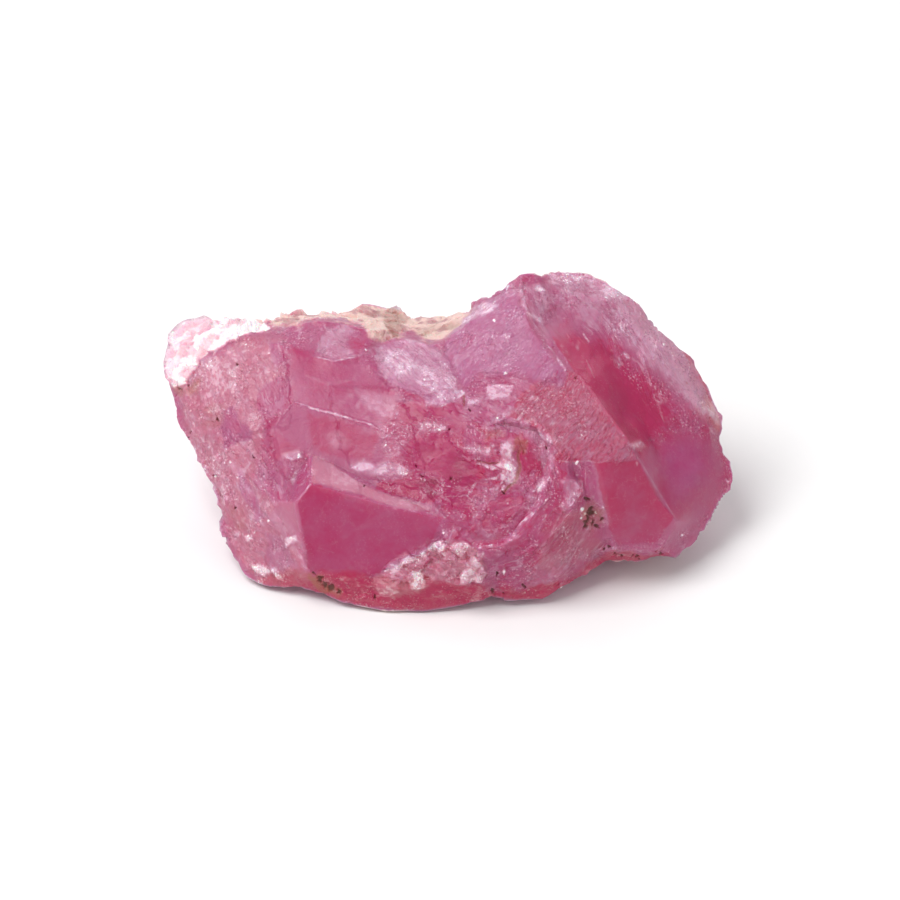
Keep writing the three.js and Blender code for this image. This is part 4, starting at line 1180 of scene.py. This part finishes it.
class Nodes:
    """Short ways to add and join shader nodes."""

    def __init__(self, material):
        material.use_nodes = True
        self.tree = material.node_tree
        self.shader = self.tree.nodes["Principled BSDF"]
        self.output = self.tree.nodes["Material Output"]
        self.masks = {}

    def add(self, kind, inputs=(), **settings):
        node = self.tree.nodes.new(kind)
        for name, value in settings.items():
            setattr(node, name, value)
        for name, value in dict(inputs).items():
            self.put(value, node.inputs[name])
        return node

    def put(self, value, socket):
        if isinstance(value, bpy.types.NodeSocket):
            self.tree.links.new(value, socket)
        else:
            socket.default_value = value

    def mask(self, name):
        """One of the masks that paint gives, made once."""
        if name not in self.masks:
            node = self.add("ShaderNodeAttribute", attribute_name=name)
            self.masks[name] = node.outputs["Fac"]
        return self.masks[name]

    def math(self, operation, a, b=0.0, c=0.0):
        node = self.add("ShaderNodeMath", operation=operation)
        for socket, value in zip(node.inputs, (a, b, c)):
            self.put(value, socket)
        return node.outputs[0]

    def times(self, a, b):
        return self.math("MULTIPLY", a, b)

    def plus(self, a, b):
        return self.math("ADD", a, b)

    def line(self, value, slope, start):
        """The value times a slope, plus a start."""
        return self.math("MULTIPLY_ADD", value, slope, start)

    def largest(self, a, b):
        return self.math("MAXIMUM", a, b)

    def mix(self, amount, a, b):
        """From colour a to colour b."""
        node = self.add("ShaderNodeMix", data_type="RGBA")
        self.put(amount, node.inputs["Factor"])
        self.put(a, node.inputs[6])
        self.put(b, node.inputs[7])
        return node.outputs[2]

    def between(self, value, low, high, out_low=0.0, out_high=1.0):
        """The value's place between low and high, as a number from out_low to out_high."""
        node = self.add("ShaderNodeMapRange", interpolation_type="SMOOTHSTEP")
        for name, number in (("Value", value), ("From Min", low), ("From Max", high),
                             ("To Min", out_low), ("To Max", out_high)):
            self.put(number, node.inputs[name])
        return node.outputs[0]

    def noise(self, size, detail):
        """Cloudy noise of the size given, in millimetres, about 0.5."""
        place = self.add("ShaderNodeTexCoord").outputs["Object"]
        inputs = {"Vector": place, "Scale": 1 / (size * MM), "Detail": detail, "Roughness": 0.55}
        return self.add("ShaderNodeTexNoise", inputs).outputs[0]

    def vector(self, operation, a, b, output="Vector"):
        return self.add("ShaderNodeVectorMath", {0: a, 1: b}, operation=operation).outputs[output]

    def plates(self, place, scale):
        """Small flat plates, each tilted its own way: a random number for each, and the height."""
        cells = self.add("ShaderNodeTexVoronoi", {"Vector": place, "Scale": scale})
        away = self.vector("SUBTRACT", place, cells.outputs["Position"])
        tilt = self.vector("SUBTRACT", cells.outputs["Color"], (0.5, 0.5, 0.5))
        height = self.vector("DOT_PRODUCT", away, tilt, output="Value")
        return cells.outputs["Color"], self.times(height, scale)


# The pinks of the stone, from its deepest to its palest, and how they warm and cool.
# SHADE is painted shade, for the darkest places.
SHADE = (0.38, 0.014, 0.085, 1)
CRIMSON = (0.59, 0.019, 0.112, 1)
MAGENTA = (0.51, 0.021, 0.16, 1)
WARM_PINK = (0.64, 0.10, 0.165, 1)
PINK = (0.55, 0.105, 0.255, 1)
VIOLET_PINK = (0.53, 0.12, 0.32, 1)
LILAC = (0.66, 0.28, 0.44, 1)
# Frost, and the painted glints, highlights and sheen that share its whites.
LILAC_WHITE = (0.76, 0.60, 0.72, 1)
WARM_WHITE = (0.80, 0.60, 0.62, 1)
BRIGHT_WHITE = (0.95, 0.90, 0.93, 1)
# Crust and rock.
CRUST_WHITE = (0.90, 0.82, 0.85, 1)
CRUST_PINK = (0.84, 0.57, 0.63, 1)
CREAM = (0.76, 0.53, 0.48, 1)
ROSE = (0.50, 0.26, 0.27, 1)
# TAN is painted shade in the folds of the rock.
TAN = (0.32, 0.13, 0.11, 1)
# Dirt, and painted shade in pits.
STAIN = (0.50, 0.19, 0.09, 1)
PIT_SHADE = (0.16, 0.012, 0.04, 1)
BROWN = (0.11, 0.028, 0.018, 1)

FLECK_SIZE = 0.3                    # millimetres
GRIT_SIZE = 0.13                    # millimetres
# Cells to a flake of the mesh, for what is finer than it.
STRANDS = 2.2
RAGGEDNESS = 5.0
PLATES, LITTLE_PLATES = 2.0, 5.0
# The tones at which the pinks change over.
PALEST, PLAIN, DEEP, SHADED, DARKEST = 0.0, 0.5, 1.0, 1.15, 1.6

IOR = 1.5
CLEARNESS = 0.3                     # the share of light that the bare calcite lets through
SHINY, DULL = 0.38, 0.48            # roughness of bare and of frosted calcite
GLOW = 0.65                         # the share of light that scatters inside
GLOW_REACH = (1.0, 0.32, 0.48)      # how far red, green and blue scatter
GLOW_SCALE = 0.0017                 # metres
BUMP_STRENGTH = 0.45
BUMP_HEIGHT = 0.00006               # metres
ABSORBED = (0.9, 0.3, 0.5, 1)
ABSORPTION = 130.0                  # per metre


def calcite_texture(n):
    """The fine unevenness that colour and relief share."""
    broken = n.mask("broken")
    grain = n.add("ShaderNodeAttribute", attribute_name="grain").outputs["Vector"]
    fleck = n.noise(FLECK_SIZE, detail=3)
    grit = n.noise(GRIT_SIZE, detail=1)
    strands = n.add("ShaderNodeTexNoise", {"Vector": grain, "Scale": STRANDS, "Detail": 2.0}).outputs[0]
    strands = n.times(n.line(strands, 2.0, -1.0), n.mask("fibred"))
    inputs = {"Vector": grain, "Scale": RAGGEDNESS, "Detail": 1.0}
    ragged = n.add("ShaderNodeTexNoise", inputs).outputs["Color"]
    uneven = n.vector("ADD", grain, n.vector("MULTIPLY", ragged, (0.4, 0.4, 0.4)))
    dice, plates = n.plates(uneven, PLATES)
    _, little_plates = n.plates(uneven, LITTLE_PLATES)
    dealt = n.times(n.math("SUBTRACT", dice, 0.5), broken)
    return {"fleck": fleck, "grit": grit, "strands": strands, "uneven": uneven, "dealt": dealt,
            "plates": n.plus(n.times(plates, 8.0), n.times(little_plates, 3.0))}


def pink_body(n, texture):
    """The colour of bare calcite, by how deep and how warm it is."""
    warm = n.mask("warm")
    mottle = n.line(texture["fleck"], 0.6, -0.3)
    tone = n.times(n.mask("tone"), DEEPEST_TONE)
    deep = n.math("MULTIPLY_ADD", mottle, n.line(n.mask("broken"), 0.8, 0.2), tone)
    deep = n.math("SUBTRACT", deep, n.times(texture["strands"], 0.35))
    deep = n.plus(deep, n.times(texture["dealt"], 0.28))
    warmer = n.mix(n.between(warm, 0.5, 1.0), PINK, WARM_PINK)
    middle = n.mix(n.between(warm, 0.0, 0.5), VIOLET_PINK, warmer)
    deepest = n.mix(n.between(warm, 0.2, 0.8), MAGENTA, CRIMSON)
    pale = n.mix(n.between(deep, PALEST, PLAIN), LILAC, middle)
    body = n.mix(n.between(deep, PLAIN, DEEP), pale, deepest)
    # Painted shade in the deepest tones.
    return n.mix(n.between(deep, SHADED, DARKEST), body, SHADE)


def frosting_and_glints_on(n, texture):
    """How much white lies over the pink: veils, flecks, flake rims, painted sparkle and painted glints."""
    frost_and_glints, broken = n.mask("frost_and_glints"), n.mask("broken")
    chance = n.plus(frost_and_glints, n.line(texture["fleck"], -3.0, 1.5))
    chance = n.plus(chance, n.times(texture["dealt"], 0.5))
    flecks = n.times(n.between(chance, 0.4, 0.65), n.between(frost_and_glints, 0.05, 0.45))
    flecks = n.times(flecks, n.line(broken, 0.18, 0.1))
    frosting_and_glints = n.plus(n.times(frost_and_glints, n.line(broken, -0.1, 0.75)), flecks)
    inputs = {"Vector": texture["uneven"], "Scale": 1.0}
    rims = n.add("ShaderNodeTexVoronoi", inputs, feature="DISTANCE_TO_EDGE").outputs["Distance"]
    rims = n.times(n.between(rims, 0.0, 0.11, 1.0, 0.0), n.times(n.mask("rimmed"), 0.34))
    frosting_and_glints = n.largest(frosting_and_glints, rims)
    # Painted sparkle on the tops of the grit's relief.
    painted_sparkle = n.times(n.between(texture["grit"], 0.6, 0.68), n.times(n.mask("gritty"), 0.45))
    frosting_and_glints = n.plus(frosting_and_glints, painted_sparkle)
    return n.times(frosting_and_glints, n.line(texture["strands"], 0.5, 1.0))


def surface_colour(n, texture, frosting_and_glints):
    """The pink under frosted white, painted glints, crust, rock, stains, brown grains and painted shade."""
    white = n.mix(n.between(n.mask("warm"), 0.5, 1.0), LILAC_WHITE, WARM_WHITE)
    white = n.mix(n.between(frosting_and_glints, 0.6, 0.92), white, BRIGHT_WHITE)
    colour = n.mix(frosting_and_glints, pink_body(n, texture), white)
    # Painted shade in the hollows of the grit's relief.
    pit_shade = n.times(n.between(texture["grit"], 0.32, 0.4, 1.0, 0.0), n.times(n.mask("gritty"), 0.35))
    colour = n.mix(pit_shade, colour, PIT_SHADE)
    crust, marbled = n.mask("crust"), n.mask("marbled")
    pinkness = n.math("SUBTRACT", marbled, n.line(crust, 1.0, -0.85))
    crusted = n.mix(n.between(pinkness, 0.42, 0.58), CRUST_WHITE, CRUST_PINK)
    colour = n.mix(crust, colour, crusted)
    colour = n.mix(n.mask("rock"), colour, n.mix(n.between(marbled, 0.52, 0.74), CREAM, ROSE))
    # Painted shade in the folds of the rock.
    colour = n.mix(n.mask("fold"), colour, TAN)
    colour = n.mix(n.mask("stain"), colour, STAIN)
    return n.mix(n.times(n.mask("brown"), 0.92), colour, BROWN)


def relief_on(n, texture):
    """The height of the relief that is too fine for the mesh."""
    by_frost = n.between(n.mask("frost_and_glints"), 0.05, 0.7, 0.4, 1.6)
    plates = n.times(texture["plates"], n.times(n.mask("broken"), by_frost))
    relief = n.math("MULTIPLY_ADD", texture["fleck"], 0.7, plates)
    relief = n.plus(relief, texture["strands"])
    return n.math("MULTIPLY_ADD", texture["grit"], n.times(n.mask("gritty"), 1.2), relief)


def calcite_material():
    material = bpy.data.materials.new("cobaltoan_calcite")
    n = Nodes(material)
    texture = calcite_texture(n)
    frosting_and_glints = frosting_and_glints_on(n, texture)
    covered = n.largest(n.largest(frosting_and_glints, n.mask("crust")), n.largest(n.mask("rock"), n.mask("brown")))
    relief = relief_on(n, texture)
    inputs = {"Height": relief, "Strength": BUMP_STRENGTH, "Distance": BUMP_HEIGHT}
    looks = {
        "Base Color": surface_colour(n, texture, frosting_and_glints),
        "Transmission Weight": n.between(covered, 0.0, 0.7, CLEARNESS, 0.0),
        "Roughness": n.between(covered, 0.0, 0.8, SHINY, DULL),
        "IOR": IOR,
        "Subsurface Weight": GLOW,
        "Subsurface Radius": GLOW_REACH,
        "Subsurface Scale": GLOW_SCALE,
        "Normal": n.add("ShaderNodeBump", inputs).outputs["Normal"],
    }
    for name, value in looks.items():
        n.put(value, n.shader.inputs[name])
    absorb = n.add("ShaderNodeVolumeAbsorption", {"Color": ABSORBED, "Density": ABSORPTION})
    n.put(absorb.outputs["Volume"], n.output.inputs["Volume"])
    return material


def floor_material():
    material = bpy.data.materials.new("pale_floor")
    n = Nodes(material)
    grey = n.mix(n.noise(2.0, detail=2), (0.88, 0.875, 0.875, 1), (0.9, 0.895, 0.895, 1))
    n.put(grey, n.shader.inputs["Base Color"])
    n.put(0.7, n.shader.inputs["Roughness"])
    return material


# ------------------------------------------------------------------ stage, light and camera

FLOOR_HALF = 2.0                    # metres
SKY_STRENGTH = 0.35
SENSOR = 36                         # millimetres
# The soft lights: where they are and how wide, in metres, and their power in watts.
SOFTBOXES = {
    "key": ((-0.20, -0.08, 0.38), 0.3, 1.75),
    "backdrop": ((0.05, 0.45, 0.32), 0.6, 1.0),
    "fill": ((0.28, -0.26, 0.12), 0.6, 0.62),
}


def make_floor():
    mesh = bpy.data.meshes.new("floor")
    corners = [(-1, -1), (1, -1), (1, 1), (-1, 1)]
    mesh.from_pydata([(FLOOR_HALF * x, FLOOR_HALF * y, 0) for x, y in corners], [], [(0, 1, 2, 3)])
    mesh.materials.append(floor_material())
    floor = bpy.data.objects.new("floor", mesh)
    bpy.context.collection.objects.link(floor)


def make_softbox(name, place, size, power):
    """A square soft light that looks at the stone."""
    light = bpy.data.lights.new(name, "AREA")
    light.shape = "SQUARE"
    light.size = size
    light.energy = power
    holder = bpy.data.objects.new(name, light)
    bpy.context.collection.objects.link(holder)
    holder.location = place
    towards = Vector(LOOK_AT * MM) - Vector(place)
    holder.rotation_mode = "QUATERNION"
    holder.rotation_quaternion = towards.to_track_quat("-Z", "Y")


def make_lights():
    world = bpy.data.worlds.new("studio")
    world.use_nodes = True
    sky = world.node_tree.nodes["Background"].inputs
    sky["Color"].default_value = (1, 1, 1, 1)
    sky["Strength"].default_value = SKY_STRENGTH
    bpy.context.scene.world = world
    for name, (place, size, power) in SOFTBOXES.items():
        make_softbox(name, place, size, power)


def make_camera():
    data = bpy.data.cameras.new("camera")
    data.sensor_width = SENSOR
    data.lens = SENSOR * CAMERA_AWAY / (PICTURE * PIXEL)
    camera = bpy.data.objects.new("camera", data)
    bpy.context.collection.objects.link(camera)
    camera.location = Vector((LOOK_AT + OUT * CAMERA_AWAY) * MM)
    camera.rotation_euler = (math.pi / 2 - LEAN, 0, 0)
    bpy.context.scene.camera = camera


bpy.context.scene.view_settings.view_transform = "Standard"
stone = make_stone()
stone.data.materials.append(calcite_material())
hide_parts("cobaltoan_calcite")
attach(stone, "root")
make_floor()
make_lights()
make_camera()
